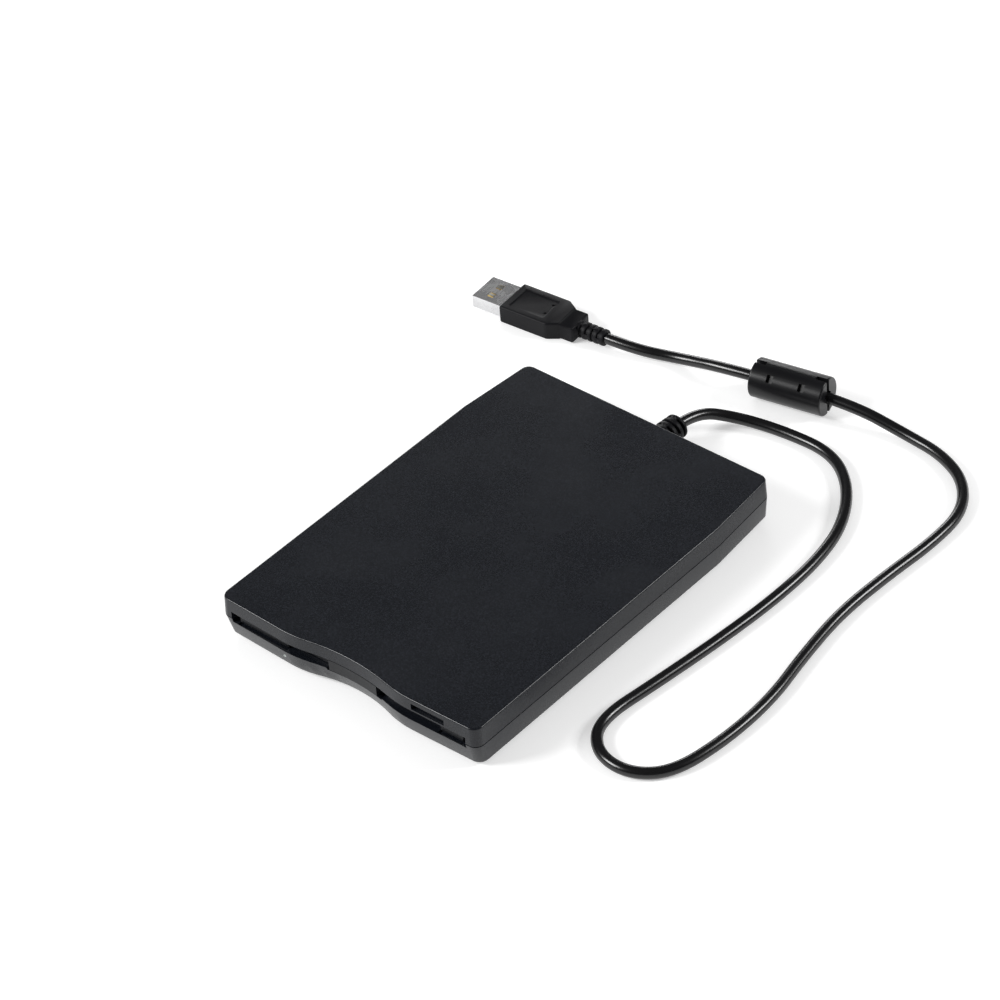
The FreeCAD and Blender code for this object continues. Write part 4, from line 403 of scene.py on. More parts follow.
@dataclass(frozen=True)
class Cast:
    """Cast or sintered material with a sandy skin."""

    name: str
    colour: Point
    metallic: float = 0.0
    roughness: float = 0.5
    sand: float = 0.35 * MM
    patch: float = 5 * MM
    shares: Pair = (0.6, 0.3)  # of sand and of patches in the darker spots
    darker: float = 0.7
    depth: float = 0.02 * MM
    wear: float = 0.15

    def material(self) -> bpy.types.Material:
        """Build the material.

        Returns:
            The material.
        """
        graph = Finish(self.name)
        sand = graph.noise(self.sand, 4.0)
        patch = graph.noise(self.patch)
        spots = sand * self.shares[0] + patch * self.shares[1]
        graph.set(
            Base_Color=graph.blend(spots, self.colour, scaled(self.colour, self.darker)),
            Metallic=self.metallic,
            Roughness=self.roughness + sand * self.wear,
        )
        graph.bump(sand, self.depth)
        return graph.material


@dataclass(frozen=True)
class Board:
    """Circuit board with tracks under its solder mask."""

    name: str
    mask: Point = (0.012, 0.11, 0.045)
    track: Point = (0.03, 0.2, 0.08)
    pitch: float = 1.2 * MM
    bare: float = 0.72  # share of the pitch without a track
    area: float = 7 * MM
    grain: float = 0.4 * MM
    ripple: float = 0.1  # of the mask, in thicknesses of a track
    depth: float = 0.03 * MM
    roughness: float = 0.3
    wear: float = 0.1
    coat: Pair = (0.4, 0.15)  # weight and roughness

    def material(self) -> bpy.types.Material:
        """Build the material.

        Returns:
            The material.
        """
        graph = Finish(self.name)
        lines = graph.bands(self.pitch, Axis.X) > self.bare
        areas = graph.noise(self.area, 0.0) > 0.5
        fine = graph.noise(self.grain)
        copper = lines * areas
        weight, roughness = self.coat
        graph.set(
            Base_Color=graph.blend(copper, self.mask, self.track),
            Roughness=self.roughness + fine * self.wear,
            Coat_Weight=weight,
            Coat_Roughness=roughness,
        )
        graph.bump(copper + fine * self.ripple, self.depth)
        return graph.material


@dataclass(frozen=True)
class Banded:
    """Bands side by side: wound wire, or the cores of a flat ribbon."""

    name: str
    colour: Point
    groove: Point
    pitch: float
    metallic: float = 0.0
    roughness: float = 0.35
    smear: float = 2 * MM
    wear: float = 0.1
    depth: float = 0.1  # of a groove, in pitches

    def material(self) -> bpy.types.Material:
        """Build the material.

        Returns:
            The material.
        """
        graph = Finish(self.name)
        wave = graph.bands(self.pitch, Axis.X)
        graph.set(
            Base_Color=graph.blend(wave, self.groove, self.colour),
            Metallic=self.metallic,
            Roughness=self.roughness + graph.noise(self.smear) * self.wear,
        )
        graph.bump(wave, self.depth * self.pitch)
        return graph.material


@dataclass(frozen=True)
class Clear:
    """Clear or tinted moulding that carries light."""

    name: str
    colour: Point
    passes: float = 0.7
    roughness: float = 0.12
    ior: float = 1.5
    haze: float = 0.8 * MM
    darker: float = 0.9
    wear: float = 0.1

    def material(self) -> bpy.types.Material:
        """Build the material.

        Returns:
            The material.
        """
        graph = Finish(self.name)
        haze = graph.noise(self.haze)
        graph.set(
            Base_Color=graph.blend(haze, self.colour, scaled(self.colour, self.darker)),
            Roughness=self.roughness + haze * self.wear,
            IOR=self.ior,
            Transmission_Weight=self.passes,
        )
        return graph.material


class Look(Enum):
    """The finishes of the drive, each under the record's slot name."""

    case_shell = Moulded("case_shell", (0.0036, 0.0044, 0.0065), 0.28,
                         grain=0.4 * MM, depth=0.016 * MM, speckle=0.9, ior=1.385)
    flap_plastic = Moulded("flap_plastic", (0.004, 0.0045, 0.006), 0.42,
                           grain=0.3 * MM, depth=0.008 * MM, speckle=0.3, ior=1.385)
    button_plastic = Moulded("button_plastic", (0.004, 0.0045, 0.006), 0.42,
                             grain=0.3 * MM, depth=0.008 * MM, speckle=0.3, ior=1.385)
    rubber = Moulded("rubber", (0.02, 0.02, 0.02), 0.75, grain=0.2 * MM, depth=0.03 * MM, speckle=0.3)
    cord_mould = Moulded("cord_mould", (0.0035, 0.0035, 0.0048), 0.5,
                         grain=0.28 * MM, depth=0.012 * MM, speckle=0.2, ior=1.27)
    bead_shell = Moulded("bead_shell", (0.004, 0.004, 0.005), 0.32,
                         grain=0.3 * MM, depth=0.008 * MM, speckle=0.15, ior=1.42)
    white_plastic = Moulded("white_plastic", (0.72, 0.72, 0.69), 0.42,
                            grain=0.3 * MM, depth=0.01 * MM, speckle=0.05)
    black_plastic = Moulded("black_plastic", (0.015, 0.015, 0.016), 0.4,
                            grain=0.25 * MM, depth=0.01 * MM, speckle=0.2)
    chip_black = Moulded("chip_black", (0.012, 0.012, 0.013), 0.55,
                         grain=0.15 * MM, depth=0.01 * MM, speckle=0.3)
    cord_jacket = Jacket("cord_jacket")
    sheet_steel = SheetMetal("sheet_steel")
    shield_steel = SheetMetal("shield_steel", (0.62, 0.62, 0.63), 0.28, spangle=3.5 * MM, contrast=0.1)
    plug_metal = SheetMetal("plug_metal", (0.7, 0.7, 0.71), 0.2, spangle=4.0 * MM, contrast=0.04)
    steel_screw = TurnedMetal("steel_screw", (0.5, 0.5, 0.51), 0.28, marks=0.3 * MM, axis=Axis.Z)
    spring_steel = TurnedMetal("spring_steel", (0.42, 0.42, 0.43), 0.25, marks=0.4 * MM, axis=Axis.X)
    ground_steel = TurnedMetal("ground_steel", (0.68, 0.68, 0.7), 0.14, marks=0.2 * MM, axis=Axis.Y)
    brass = TurnedMetal("brass", (0.66, 0.48, 0.2), 0.25, marks=0.25 * MM, axis=Axis.Z)
    gold = TurnedMetal("gold", (0.83, 0.62, 0.24), 0.2, marks=0.3 * MM, axis=Axis.X)
    cast_aluminium = Cast("cast_aluminium", (0.56, 0.56, 0.58), metallic=1.0, roughness=0.38)
    ferrite = Cast("ferrite", (0.16, 0.16, 0.17), roughness=0.4)
    head_ceramic = Cast("head_ceramic", (0.13, 0.125, 0.12), roughness=0.15)
    board_green = Board("board_green")
    copper = Banded("copper", (0.62, 0.27, 0.12), groove=(0.2, 0.07, 0.03), pitch=0.25 * MM,
                    metallic=1.0, roughness=0.28)
    ribbon = Banded("ribbon", (0.62, 0.62, 0.6), groove=(0.3, 0.3, 0.3), pitch=1.27 * MM, roughness=0.4)
    lamp = Clear("lamp", (0.25, 0.6, 0.3), passes=0.5)
    clear_pipe = Clear("clear_pipe", (0.75, 0.82, 0.78), passes=0.55)


class Paintbox:
    """Makes each finish once and puts it on pieces."""

    def __init__(self) -> None:
        """Start with no materials made."""
        self.made: dict[str, bpy.types.Material] = {}

    def paint(self, piece: bpy.types.Object, look: Look) -> None:
        """Give a piece one finish all over.

        Args:
            piece: The object to paint.
            look: Its finish.
        """
        if look.name not in self.made:
            self.made[look.name] = look.value.material()
        piece.data.materials.clear()
        piece.data.materials.append(self.made[look.name])


# ------------------------------------------------------------------ modelling tools
class Bench:
    """Hand tools round Blender's own operators."""

    @staticmethod
    def take(*pieces: bpy.types.Object) -> None:
        """Select these pieces and nothing else, the first one active.

        Args:
            pieces: The pieces.
        """
        bpy.ops.object.select_all(action="DESELECT")
        for piece in pieces:
            piece.select_set(True)
        bpy.context.view_layer.objects.active = pieces[0]

    @staticmethod
    def settle(piece: bpy.types.Object, name: str) -> bpy.types.Object:
        """Name a piece and put its place into its mesh.

        Args:
            piece: The piece.
            name: Its name.

        Returns:
            The same piece.
        """
        piece.name = name
        piece.data.name = name
        Bench.take(piece)
        bpy.ops.object.transform_apply(location=True, rotation=True, scale=True)
        return piece

    @staticmethod
    def block(name: str, low: Point, high: Point) -> bpy.types.Object:
        """Block between two corners.

        Args:
            name: Name of the piece.
            low: Lowest corner.
            high: Highest corner.

        Returns:
            The block.
        """
        bpy.ops.object.select_all(action="DESELECT")
        middle = [(a + b) / 2 for a, b in zip(low, high)]
        bpy.ops.mesh.primitive_cube_add(size=1.0, location=middle)
        piece = bpy.context.object
        piece.scale = [b - a for a, b in zip(low, high)]
        return Bench.settle(piece, name)

    @staticmethod
    def edit(piece: bpy.types.Object, inside: Callable[[Vector, Vector], bool]) -> None:
        """Enter edit mode with the chosen faces selected.

        Args:
            piece: The piece.
            inside: Says whether a face with this centre and normal is chosen.
        """
        Bench.take(piece)
        mesh = piece.data
        bpy.ops.object.mode_set(mode="EDIT")
        bpy.ops.mesh.select_mode(type="FACE")
        bpy.ops.mesh.select_all(action="DESELECT")
        bpy.ops.object.mode_set(mode="OBJECT")
        for face in mesh.polygons:
            face.select = inside(face.center, face.normal)
        bpy.ops.object.mode_set(mode="EDIT")

    @staticmethod
    def leave() -> None:
        """Leave edit mode."""
        bpy.ops.object.mode_set(mode="OBJECT")

    @staticmethod
    def turned(name: str, profile: Sequence[Pair], sides: int = 48) -> bpy.types.Object:
        """Round body along X, pulled out ring by ring.

        Args:
            name: Name of the piece.
            profile: Place along X and radius of each ring.
            sides: Number of sides.

        Returns:
            The body.
        """
        bpy.ops.object.select_all(action="DESELECT")
        (x0, r0), (x1, r1) = profile[:2]
        bpy.ops.mesh.primitive_cylinder_add(vertices=sides, radius=r0, depth=x1 - x0,
                                            location=((x0 + x1) / 2, 0, 0), rotation=(0, math.pi / 2, 0))
        piece = Bench.settle(bpy.context.object, name)
        Bench.edit(piece, lambda centre, normal: normal.x > END_FACE and abs(centre.x - x1) < SAME_PLACE)
        Bench.swell(x1, r1 / r0)
        for (xa, ra), (xb, rb) in zip(profile[1:], profile[2:]):
            bpy.ops.mesh.extrude_region_move(TRANSFORM_OT_translate={"value": (xb - xa, 0, 0)})
            Bench.swell(xb, rb / ra)
        Bench.leave()
        return piece

    @staticmethod
    def swell(x: float, factor: float) -> None:
        """Widen the selected ring round the X axis."""
        bpy.ops.transform.resize(value=(1.0, factor, factor), center_override=(x, 0, 0))

    @staticmethod
    def modify(piece: bpy.types.Object, kind: str, **settings: object) -> None:
        """Add a modifier and apply it.

        Args:
            piece: The piece.
            kind: The modifier's type.
            settings: Its properties.
        """
        Bench.take(piece)
        modifier = piece.modifiers.new(kind.title(), kind)
        for key, value in settings.items():
            setattr(modifier, key, value)
        bpy.ops.object.modifier_apply(modifier=modifier.name)

    @staticmethod
    def combine(piece: bpy.types.Object, tool: bpy.types.Object, join: Join = Join.CUT) -> None:
        """Cut or add one piece with another, which is used up.

        Args:
            piece: The piece that stays.
            tool: The piece that is used up.
            join: What the tool does to the piece.
        """
        Bench.modify(piece, "BOOLEAN", operation=join.value, object=tool, solver="EXACT")
        bpy.data.objects.remove(tool, do_unlink=True)

    @staticmethod
    def soften(piece: bpy.types.Object, width: float, segments: int = 2, angle: float = 30.0) -> None:
        """Round the sharp edges and shade the rest smooth.

        Args:
            piece: The piece.
            width: Width of the rounding in metres.
            segments: Faces across it.
            angle: Sharpest edge left alone, in degrees.
        """
        Bench.modify(piece, "BEVEL", width=width, segments=segments, limit_method="ANGLE",
                     angle_limit=math.radians(angle), use_clamp_overlap=True, harden_normals=False)
        Bench.smooth(piece)
        Bench.modify(piece, "WEIGHTED_NORMAL", keep_sharp=True)

    @staticmethod
    def smooth(piece: bpy.types.Object, angle: float = 48.0) -> None:
        """Shade smooth except at edges sharper than an angle in degrees."""
        Bench.take(piece)
        bpy.ops.object.shade_smooth_by_angle(angle=math.radians(angle))

    @staticmethod
    def tidy(piece: bpy.types.Object) -> None:
        """Merge doubles and turn the faces outwards.

        Args:
            piece: The piece.
        """
        Bench.edit(piece, lambda centre, normal: True)
        bpy.ops.mesh.remove_doubles(threshold=DOUBLES)
        bpy.ops.mesh.normals_make_consistent(inside=False)
        Bench.leave()

    @staticmethod
    def put(piece: bpy.types.Object, heading: float, place: Point) -> None:
        """Turn a piece about Z and move it, then put that into its mesh.

        Args:
            piece: The piece.
            heading: Degrees about Z.
            place: Where its origin goes, in metres.
        """
        piece.rotation_euler = Euler((0, 0, math.radians(heading)))
        piece.location = place
        Bench.settle(piece, piece.name)

    @staticmethod
    def copy_node(node: str, name: str) -> bpy.types.Object:
        """Merged copy of a CAD node, free to be shaped.

        Args:
            node: The node's name.
            name: Name of the copy.

        Returns:
            The copy.
        """
        source = frame["nodes"][node]
        piece = bpy.data.objects.new(name, source.data.copy())
        piece.data.name = name
        bpy.context.scene.collection.objects.link(piece)
        Bench.take(piece)
        if piece.data.has_custom_normals:
            bpy.ops.mesh.customdata_custom_splitnormals_clear()
        Bench.edit(piece, lambda centre, normal: True)
        bpy.ops.mesh.remove_doubles(threshold=CAD_DOUBLES)
        bpy.ops.mesh.dissolve_limited(angle_limit=math.radians(CAD_FLAT))
        Bench.leave()
        return piece


# ------------------------------------------------------------------ case
@dataclass
class Case:
    """The two shells, with their edges rounded."""

    rounding: float = 0.24 * MM
    rounding_faces: int = 2
    sharp: float = 50.0  # degrees from which an edge is rounded
    paints: Paintbox = field(default_factory=Paintbox)

    def build(self) -> None:
        """Round and paint both shells."""
        for node, name in (("top_cover", "cover_shell"), ("bottom_case", "base_shell")):
            shell = Bench.copy_node(node, name)
            Bench.soften(shell, self.rounding, self.rounding_faces, self.sharp)
            self.paints.paint(shell, Look.case_shell)
            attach(shell, "case")
            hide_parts(node)
            LOG.info("%s: %d faces", name, len(shell.data.polygons))


# ------------------------------------------------------------------ boots, bead and plug
@dataclass
class RibbedBoot:
    """Ribbed strain relief along X: a core, ribs and the ties between them."""

    name: str
    length: float
    core: float  # radius of the core
    first: float  # radius of the first rib
    last: float  # radius of the last rib
    start: float  # extra width of the first rib
    pitch: float
    gap: float
    tie: float  # half width of a tie
    ribs: int = 5
    edge: float = 0.25 * MM
    edge_faces: int = 3
    lap: float = 0.2 * MM  # how far a tie runs into its ribs
    sides: int = 40
    shading: float = 35.0

    def build(self) -> bpy.types.Object:
        """Model the boot.

        Returns:
            The boot, along +X from zero.
        """
        boot = Bench.turned(self.name, ((0.0, self.core), (self.length, self.core)), self.sides)
        for number in range(self.ribs):
            a = self.start + number * self.pitch if number else 0.0
            b = self.start + (number + 1) * self.pitch - self.gap
            b = self.length if number == self.ribs - 1 else b
            rib = Bench.turned("rib", ((a, self.radius(a)), (b, self.radius(b))), self.sides)
            Bench.soften(rib, self.edge, self.edge_faces)
            Bench.combine(boot, rib, Join.ADD)
        for number in range(1, self.ribs):
            a = self.start + number * self.pitch
            reach = self.radius(a) - 0.5 * self.edge
            for side in (-1, 1):
                low = (a - self.gap - self.lap, -self.tie, 0.0)
                high = (a + self.lap, self.tie, reach)
                block = Bench.block("tie", low, high)
                turn = 90.0 * (number % 2) + 90.0 * (1 - side)
                block.rotation_euler = Euler((math.radians(turn), 0, 0))
                Bench.settle(block, "tie")
                Bench.combine(boot, block, Join.ADD)
        Bench.tidy(boot)
        Bench.smooth(boot, self.shading)
        return boot

    def radius(self, x: float) -> float:
        """Outer radius at a place along the boot."""
        return self.first + (self.last - self.first) * x / self.length


@dataclass
class CordRelief:
    """The boot where the cord leaves the case."""

    mouth: Point = (2.5 * MM, 71.8 * MM, 7.4 * MM)
    length: float = 11.7 * MM
    neck: float = 3.6 * MM
    flange: float = 4.2 * MM
    inner: Pair = (68.3 * MM, 69.9 * MM)
    lap: float = 0.05 * MM  # how far the neck stands off the flange's inner face
    sides: int = 40
    paints: Paintbox = field(default_factory=Paintbox)

    def build(self) -> None:
        """Model, place and paint the boot with its flange inside the case."""
        boot = RibbedBoot("cord_boot", self.length, core=3.3 * MM, first=4.9 * MM, last=4.2 * MM,
                          start=0.7 * MM, pitch=2.5 * MM, gap=1.0 * MM, tie=1.1 * MM).build()
        Bench.put(boot, 90.0, self.mouth)
        x, y, z = self.mouth
        neck = Bench.turned("neck", ((0.0, self.neck), (y - self.inner[0], self.neck)), self.sides)
        Bench.put(neck, 90.0, (x, self.inner[0] + self.lap, z))
        Bench.combine(boot, neck, Join.ADD)
        low = (x - self.flange, self.inner[0], z - self.flange)
        high = (x + self.flange, self.inner[1], z + self.flange)
        Bench.combine(boot, Bench.block("flange", low, high), Join.ADD)
        self.paints.paint(boot, Look.cord_mould)
        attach(boot, "case")
        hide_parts("cord_relief")
        LOG.info("cord relief: %d faces", len(boot.data.polygons))


@dataclass
class Bead:
    """The ferrite bead's two snap halves."""

    centre: Point = (19.191 * MM, 121.298 * MM, 6.6 * MM)
    heading: float = 191.31
    radius: float = 6.6 * MM
    half: float = 12.85 * MM
    round: float = 0.6 * MM
    bore: float = 2.1 * MM
    core: Pair = (4.9 * MM, 11.0 * MM)  # radius and half length
    window: Point = (1.1 * MM, 1.3 * MM, 1.2 * MM)  # half length, half width and depth
    window_place: float = 5.6 * MM
    window_turn: float = 46.0
    slot: Pair = (4.0 * MM, 0.8 * MM)  # length and half width
    seam: float = 0.04 * MM  # of each half, from the middle
    edge: float = 0.16 * MM
    edge_faces: int = 2
    sharp: float = 40.0  # degrees from which an edge is rounded
    over: float = 1.0 * MM  # how far a cutter stands out
    sides: int = 64
    bore_sides: int = 32
    paints: Paintbox = field(default_factory=Paintbox)

    def body(self, name: str) -> bpy.types.Object:
        """Whole round body with rounded ends and its hollow.

        Args:
            name: Name of the piece.

        Returns:
            The body, along X about zero.
        """
        steps = [math.radians(a) for a in QUARTER_ROUND]
        front = [(-self.half + self.round * (1 - math.sin(a)), self.radius - self.round * (1 - math.cos(a)))
                 for a in reversed(steps)]
        back = [(-x, r) for x, r in reversed(front)]
        piece = Bench.turned(name, front + back, self.sides)
        hollow = Bench.turned("hollow", ((-self.core[1], self.core[0]), (self.core[1], self.core[0])))
        Bench.combine(piece, hollow)
        bore = Bench.turned("bore", ((-2 * self.half, self.bore), (2 * self.half, self.bore)), self.bore_sides)
        Bench.combine(piece, bore)
        return piece

    def windows(self) -> list[bpy.types.Object]:
        """Cutters of the side windows and the end slots.

        Returns:
            The cutters, in the bead's own frame.
        """
        tools = []
        long, wide, deep = self.window
        for x in (-self.window_place, self.window_place):
            for angle in (-self.window_turn, self.window_turn):
                tool = Bench.block("window", (x - long, -wide, self.radius - deep),
                                   (x + long, wide, self.radius + self.over))
                tool.rotation_euler = Euler((math.radians(angle), 0, 0))
                tools.append(Bench.settle(tool, tool.name))
        long, wide = self.slot
        high = self.radius + self.over
        for a, b in ((-self.half - self.over, long - self.half), (self.half - long, self.half + self.over)):
            tools.append(Bench.block("slot", (a, -wide, -high), (b, wide, high)))
        return tools

    def build(self) -> list[bpy.types.Object]:
        """Model, place and paint both halves.

        Returns:
            The two halves.
        """
        halves = []
        for side, node in ((1, "bead_front"), (-1, "bead_rear")):
            piece = self.body(node + "_shell")
            for tool in self.windows():
                Bench.combine(piece, tool)
            reach = 2 * self.half
            low, high = sorted((side * self.seam, side * reach))
            keep = Bench.block("keep", (-reach, low, -reach), (reach, high, reach))
            Bench.combine(piece, keep, Join.KEEP)
            Bench.tidy(piece)
            Bench.soften(piece, self.edge, self.edge_faces, self.sharp)
            Bench.put(piece, self.heading, self.centre)
            self.paints.paint(piece, Look.bead_shell)
            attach(piece, "case")
            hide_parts(node)
            halves.append(piece)
        LOG.info("bead: %d faces", sum(len(h.data.polygons) for h in halves))
        return halves


@dataclass
class Plug:
    """The moulded grip of the plug with its ribbed tail."""

    end: Point = (-48.3 * MM, 109.3 * MM, 3.3 * MM)
    heading: float = 185.0
    tail: float = 10.3 * MM
    neck: float = 15.2 * MM
    full: float = 19.3 * MM
    length: float = 38.0 * MM
    half_wide: float = 7.45 * MM
    neck_wide: float = 5.0 * MM
    half_thick: float = 3.3 * MM
    neck_thick: float = 3.0 * MM
    rim: float = 2.3 * MM
    panel_end: float = 2.5 * MM
    panel_depth: float = 0.3 * MM
    dimple: Point = (2.45 * MM, 0.55 * MM, 0.3 * MM)  # place aside, radius and depth
    shell: Point = (5.0 * MM, 6.0 * MM, 2.25 * MM)  # depth, half width and half thickness
    grip_edge: float = 0.7 * MM
    neck_edge: float = 0.6 * MM
    panel_edge: float = 0.25 * MM
    neck_laps: Pair = (0.1 * MM, 1.0 * MM)  # into the tail and into the grip
    tail_lap: float = 0.3 * MM
    over: float = 1.0 * MM  # how far a cutter stands out
    sharp: float = 20.0  # degrees from which an edge of the grip is rounded
    shading: float = 32.0
    paints: Paintbox = field(default_factory=Paintbox)

    def grip(self) -> bpy.types.Object:
        """Flat grip that narrows to its neck.

        Returns:
            The grip along +X, with rounded edges.
        """
        grip = Bench.block("plug_grip", (self.neck, -self.neck_wide, -self.half_thick),
                           (self.full, self.neck_wide, self.half_thick))
        Bench.edit(grip, lambda centre, normal: normal.x > END_FACE)
        wider = self.half_wide / self.neck_wide
        bpy.ops.transform.resize(value=(1.0, wider, 1.0), center_override=(self.full, 0, 0))
        bpy.ops.mesh.extrude_region_move(TRANSFORM_OT_translate={"value": (self.length - self.full, 0, 0)})
        Bench.leave()
        Bench.soften(grip, self.grip_edge, segments=4, angle=self.sharp)
        into_tail, into_grip = self.neck_laps
        neck = Bench.block("neck", (self.tail - into_tail, -self.neck_wide, -self.neck_thick),
                           (self.neck + into_grip, self.neck_wide, self.neck_thick))
        Bench.soften(neck, self.neck_edge, segments=3)
        Bench.combine(grip, neck, Join.ADD)
        return grip

    def panel(self, grip: bpy.types.Object) -> None:
        """Sink the panel and its two dimples into the grip's top.

        Args:
            grip: The grip.
        """
        wide = self.half_wide - self.rim
        start = self.full + self.rim
        floor = self.half_thick - self.panel_depth
        panel = Bench.block("panel", (start, -wide, floor),
                            (self.length - self.panel_end, wide, self.half_thick + self.over))
        Bench.soften(panel, self.panel_edge, segments=3)
        Bench.combine(grip, panel)
        aside, radius, depth = self.dimple
        for side in (-1, 1):
            bpy.ops.object.select_all(action="DESELECT")
            bpy.ops.mesh.primitive_cylinder_add(vertices=24, radius=radius, depth=2 * depth,
                                                location=(start + 2 * radius, side * aside, floor))
            Bench.combine(grip, Bench.settle(bpy.context.object, "dimple"))

    def build(self) -> bpy.types.Object:
        """Model, place and paint the grip.

        Returns:
            The grip.
        """
        grip = self.grip()
        tail = RibbedBoot("tail", self.tail + self.tail_lap, core=2.3 * MM, first=2.8 * MM, last=3.0 * MM,
                          start=0.1 * MM, pitch=2.3 * MM, gap=1.0 * MM, tie=0.8 * MM, edge=0.2 * MM).build()
        Bench.combine(grip, tail, Join.ADD)
        self.panel(grip)
        depth, half_w, half_t = self.shell
        socket = Bench.block("socket", (self.length - depth, -half_w, -half_t),
                             (self.length + self.over, half_w, half_t))
        Bench.combine(grip, socket)
        Bench.tidy(grip)
        Bench.smooth(grip, self.shading)
        Bench.put(grip, self.heading, self.end)
        self.paints.paint(grip, Look.cord_mould)
        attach(grip, "case")
        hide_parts("plug_body")
        LOG.info("plug: %d faces", len(grip.data.polygons))
        return grip


# ------------------------------------------------------------------ cord
@dataclass
class Cord:
    """The free cord from the relief through the bead to the plug."""

    diameter: float = 3.8 * MM
    length: float = 545.8 * MM
    order: int = 3
    steps_along: int = 12
    steps_round: int = 8
    paints: Paintbox = field(default_factory=Paintbox)
    route: tuple[Point, ...] = (  # in millimetres
        (2.5, 83.5, 7.4), (2.7, 93.0, 6.9), (11.3, 101.8, 3.2), (27.0, 106.2, 1.9), (46.5, 106.6, 1.9),
        (60.5, 96.5, 1.9), (70.5, 80.0, 1.9), (74.3, 61.5, 1.9), (74.6, 40.0, 1.9), (72.8, 17.0, 1.9),
        (69.6, -9.0, 1.9), (66.0, -33.5, 1.9), (74.0, -44.4, 1.9), (87.0, -46.2, 1.9), (97.6, -38.0, 1.9),
        (101.3, -18.0, 1.9), (101.4, 4.0, 1.9), (97.4, 25.0, 1.9), (94.6, 47.0, 1.9), (95.6, 70.0, 1.9),
        (97.5, 90.0, 1.9), (96.5, 107.0, 1.9), (88.0, 119.5, 1.9), (75.0, 126.0, 1.9), (60.5, 127.6, 1.9),
        (39.0, 125.26, 6.6), (-3.0, 116.86, 6.6), (-23.8, 116.2, 1.9), (-36.35, 110.35, 3.3),
        (-48.3, 109.3, 3.3),
    )

    def build(self, riders: Sequence[bpy.types.Object]) -> None:
        """Lay the cord along its route.

        Args:
            riders: The pieces on the cord; not used.
        """
        curve = bpy.data.curves.new("cord_line", "CURVE")
        curve.dimensions = "3D"
        spline = curve.splines.new("NURBS")
        spline.points.add(len(self.route) - 1)
        for point, place in zip(spline.points, self.route):
            point.co = (*(MM * value for value in place), 1.0)
        spline.order_u = self.order
        spline.use_endpoint_u = True
        spline.resolution_u = self.steps_along
        curve.bevel_depth = self.diameter / 2
        curve.bevel_resolution = self.steps_round
        curve.use_fill_caps = True
        piece = bpy.data.objects.new("cord_line", curve)
        bpy.context.scene.collection.objects.link(piece)
        self.paints.paint(piece, Look.cord_jacket)
        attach(piece, "case")
        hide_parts("usb_cord")
        LOG.info("cord: %d route points", len(self.route))


# ------------------------------------------------------------------ studio and camera
@dataclass
class Camera:
    """Camera that takes in the drive and all of its cord."""

    azimuth: float = 43.626
    elevation: float = 39.612
    roll: float = -4.845
    target: Point = (-11.94 * MM, 14.31 * MM, 16.15 * MM)
    distance: float = 1331.8 * MM
    lens: float = 155.045
    sensor: float = 36.0
    near: float = 50 * MM

    def build(self) -> None:
        """Place the camera and make it the scene's."""
        az, el = math.radians(self.azimuth), math.radians(self.elevation)
        back = Vector((math.sin(az) * math.cos(el), -math.cos(az) * math.cos(el), math.sin(el)))
        right = Vector((math.cos(az), math.sin(az), 0.0))
        up = back.cross(right)
        turn = Matrix.Rotation(math.radians(self.roll), 3, back)
        right, up = turn @ right, turn @ up
        data = bpy.data.cameras.new("camera")
        data.sensor_width = self.sensor
        data.lens = self.lens
        data.clip_start = self.near
        camera = bpy.data.objects.new("camera", data)
        place = Matrix((right, up, back)).transposed().to_4x4()
        place.translation = Vector(self.target) + back * self.distance
        camera.matrix_world = place
        bpy.context.scene.collection.objects.link(camera)
        bpy.context.scene.camera = camera


@dataclass(frozen=True)
class Softbox:
    """One rectangular light."""

    name: str
    place: Point
    size: Pair
    power: float

    def build(self) -> None:
        """Hang the light and turn it to the object."""
        data = bpy.data.lights.new(self.name, "AREA")
        data.shape = "RECTANGLE"
        data.size, data.size_y = self.size
        data.energy = self.power
        light = bpy.data.objects.new(self.name, data)
        light.location = self.place
        light.rotation_euler = (-Vector(self.place)).to_track_quat("-Z", "Y").to_euler()
        bpy.context.scene.collection.objects.link(light)


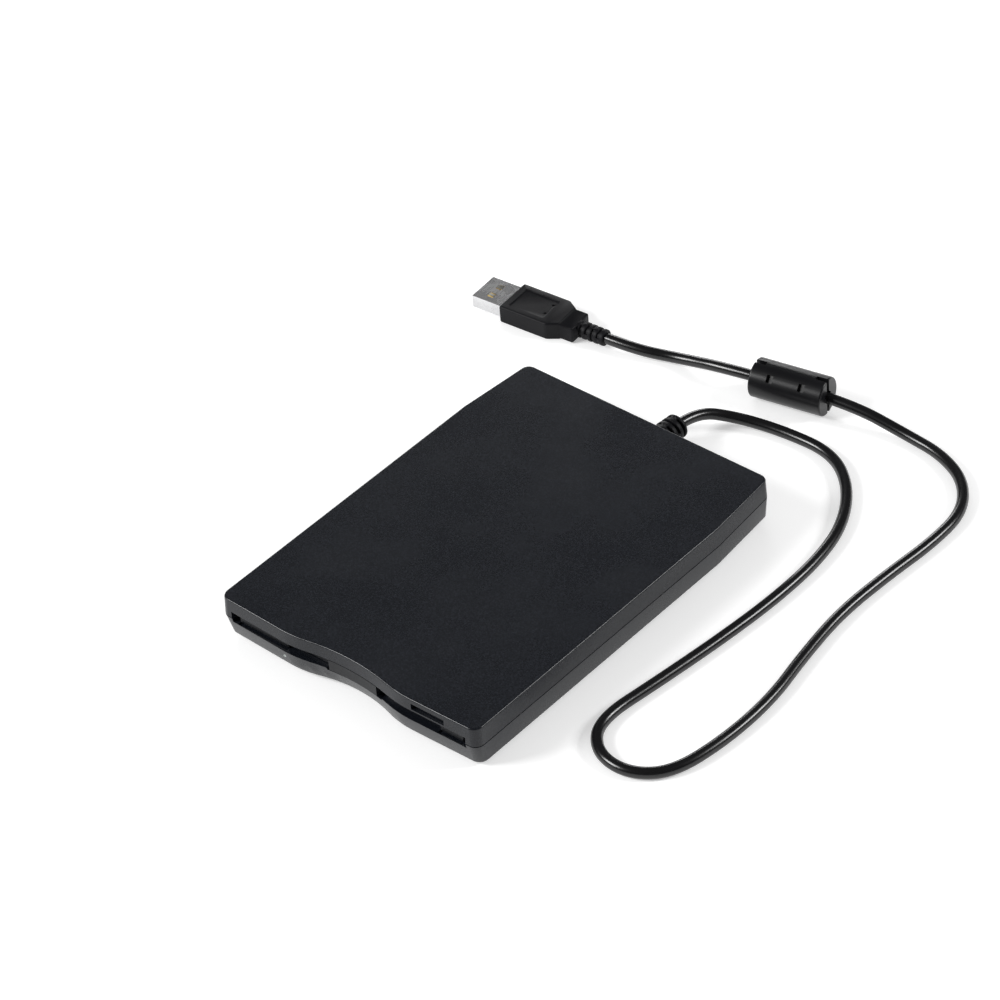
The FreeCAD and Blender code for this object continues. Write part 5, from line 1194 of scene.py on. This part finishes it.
@dataclass
class Studio:
    """Pale floor, soft lights and a white room."""

    floor: Point = (0.86, 0.86, 0.86)
    floor_roughness: float = 0.9
    floor_sheen: float = 0.1
    floor_size: float = 60.0
    white: Point = (1.0, 1.0, 1.0)
    lift: float = 0.32
    sky: Point = (0.35, 0.35, 0.35)
    mirrored_sky: Point = (0.08, 0.08, 0.08)
    lights: tuple[Softbox, ...] = (
        Softbox("key", (-1.15, -1.37, 1.22), (0.9, 0.7), power=43.0),
        Softbox("fill", (1.2, 1.05, 1.0), (0.6, 0.5), power=20.0),
        Softbox("back", (-1.35, 1.43, 0.5), (0.8, 0.4), power=8.0),
    )

    def build(self) -> None:
        """Lay the floor, hang the lights and set the room."""
        bpy.ops.object.select_all(action="DESELECT")
        bpy.ops.mesh.primitive_plane_add(size=self.floor_size)
        ground = Bench.settle(bpy.context.object, "studio_floor")
        graph = Finish("studio_floor")
        seen = graph.node("ShaderNodeLightPath", {}, {}, "Is Camera Ray")
        mirrored = graph.node("ShaderNodeLightPath", {}, {}, "Is Glossy Ray")
        through = graph.node("ShaderNodeLightPath", {}, {}, "Is Transmission Ray")
        graph.set(
            Base_Color=self.floor,
            Roughness=self.floor_roughness,
            Specular_IOR_Level=self.floor_sheen,
            Emission_Color=self.white,
            Emission_Strength=(seen + mirrored + through) * self.lift,
        )
        ground.data.materials.append(graph.material)
        for light in self.lights:
            light.build()
        self.room()

    def room(self) -> None:
        """White to the camera, pale to matt surfaces and a dim grey to reflections."""
        world = bpy.data.worlds.new("room")
        bpy.context.scene.world = world
        world.use_nodes = True
        graph = Graph(world.node_tree)
        mirrored = graph.node("ShaderNodeLightPath", {}, {}, "Is Glossy Ray")
        seen = graph.node("ShaderNodeLightPath", {}, {}, "Is Camera Ray")
        grey = graph.blend(mirrored, self.sky, self.mirrored_sky)
        background = world.node_tree.nodes["Background"]
        graph.feed(background.inputs["Color"], graph.blend(seen, grey, self.white))
        background.inputs["Strength"].default_value = 1.0
        bpy.context.scene.view_settings.view_transform = "Standard"


def dress_nodes(paints: Paintbox) -> None:
    """Give every CAD node the finish of its slot.

    Args:
        paints: Where the finishes are made.
    """
    for part in frame["record"]["subparts"]:
        node = frame["nodes"][part["node"]]
        paints.paint(node, Look[part["material_slot"]])
        Bench.smooth(node, CAD_SHADING)
    LOG.info("%d CAD nodes painted", len(frame["nodes"]))


def main() -> None:
    """Build the camera, dress the CAD nodes, add the detailed pieces and light the scene."""
    logging.basicConfig(level=logging.INFO, format="%(name)s: %(message)s")
    paints = Paintbox()
    Camera().build()
    dress_nodes(paints)
    Case(paints=paints).build()
    CordRelief(paints=paints).build()
    riders = Bead(paints=paints).build() + [Plug(paints=paints).build()]
    inner = ("bead_core", "plug_shell", "plug_insert", "plug_contacts")
    Cord(paints=paints).build(riders + [frame["nodes"][name] for name in inner])
    Studio().build()


if __name__ == "__main__":
    main()
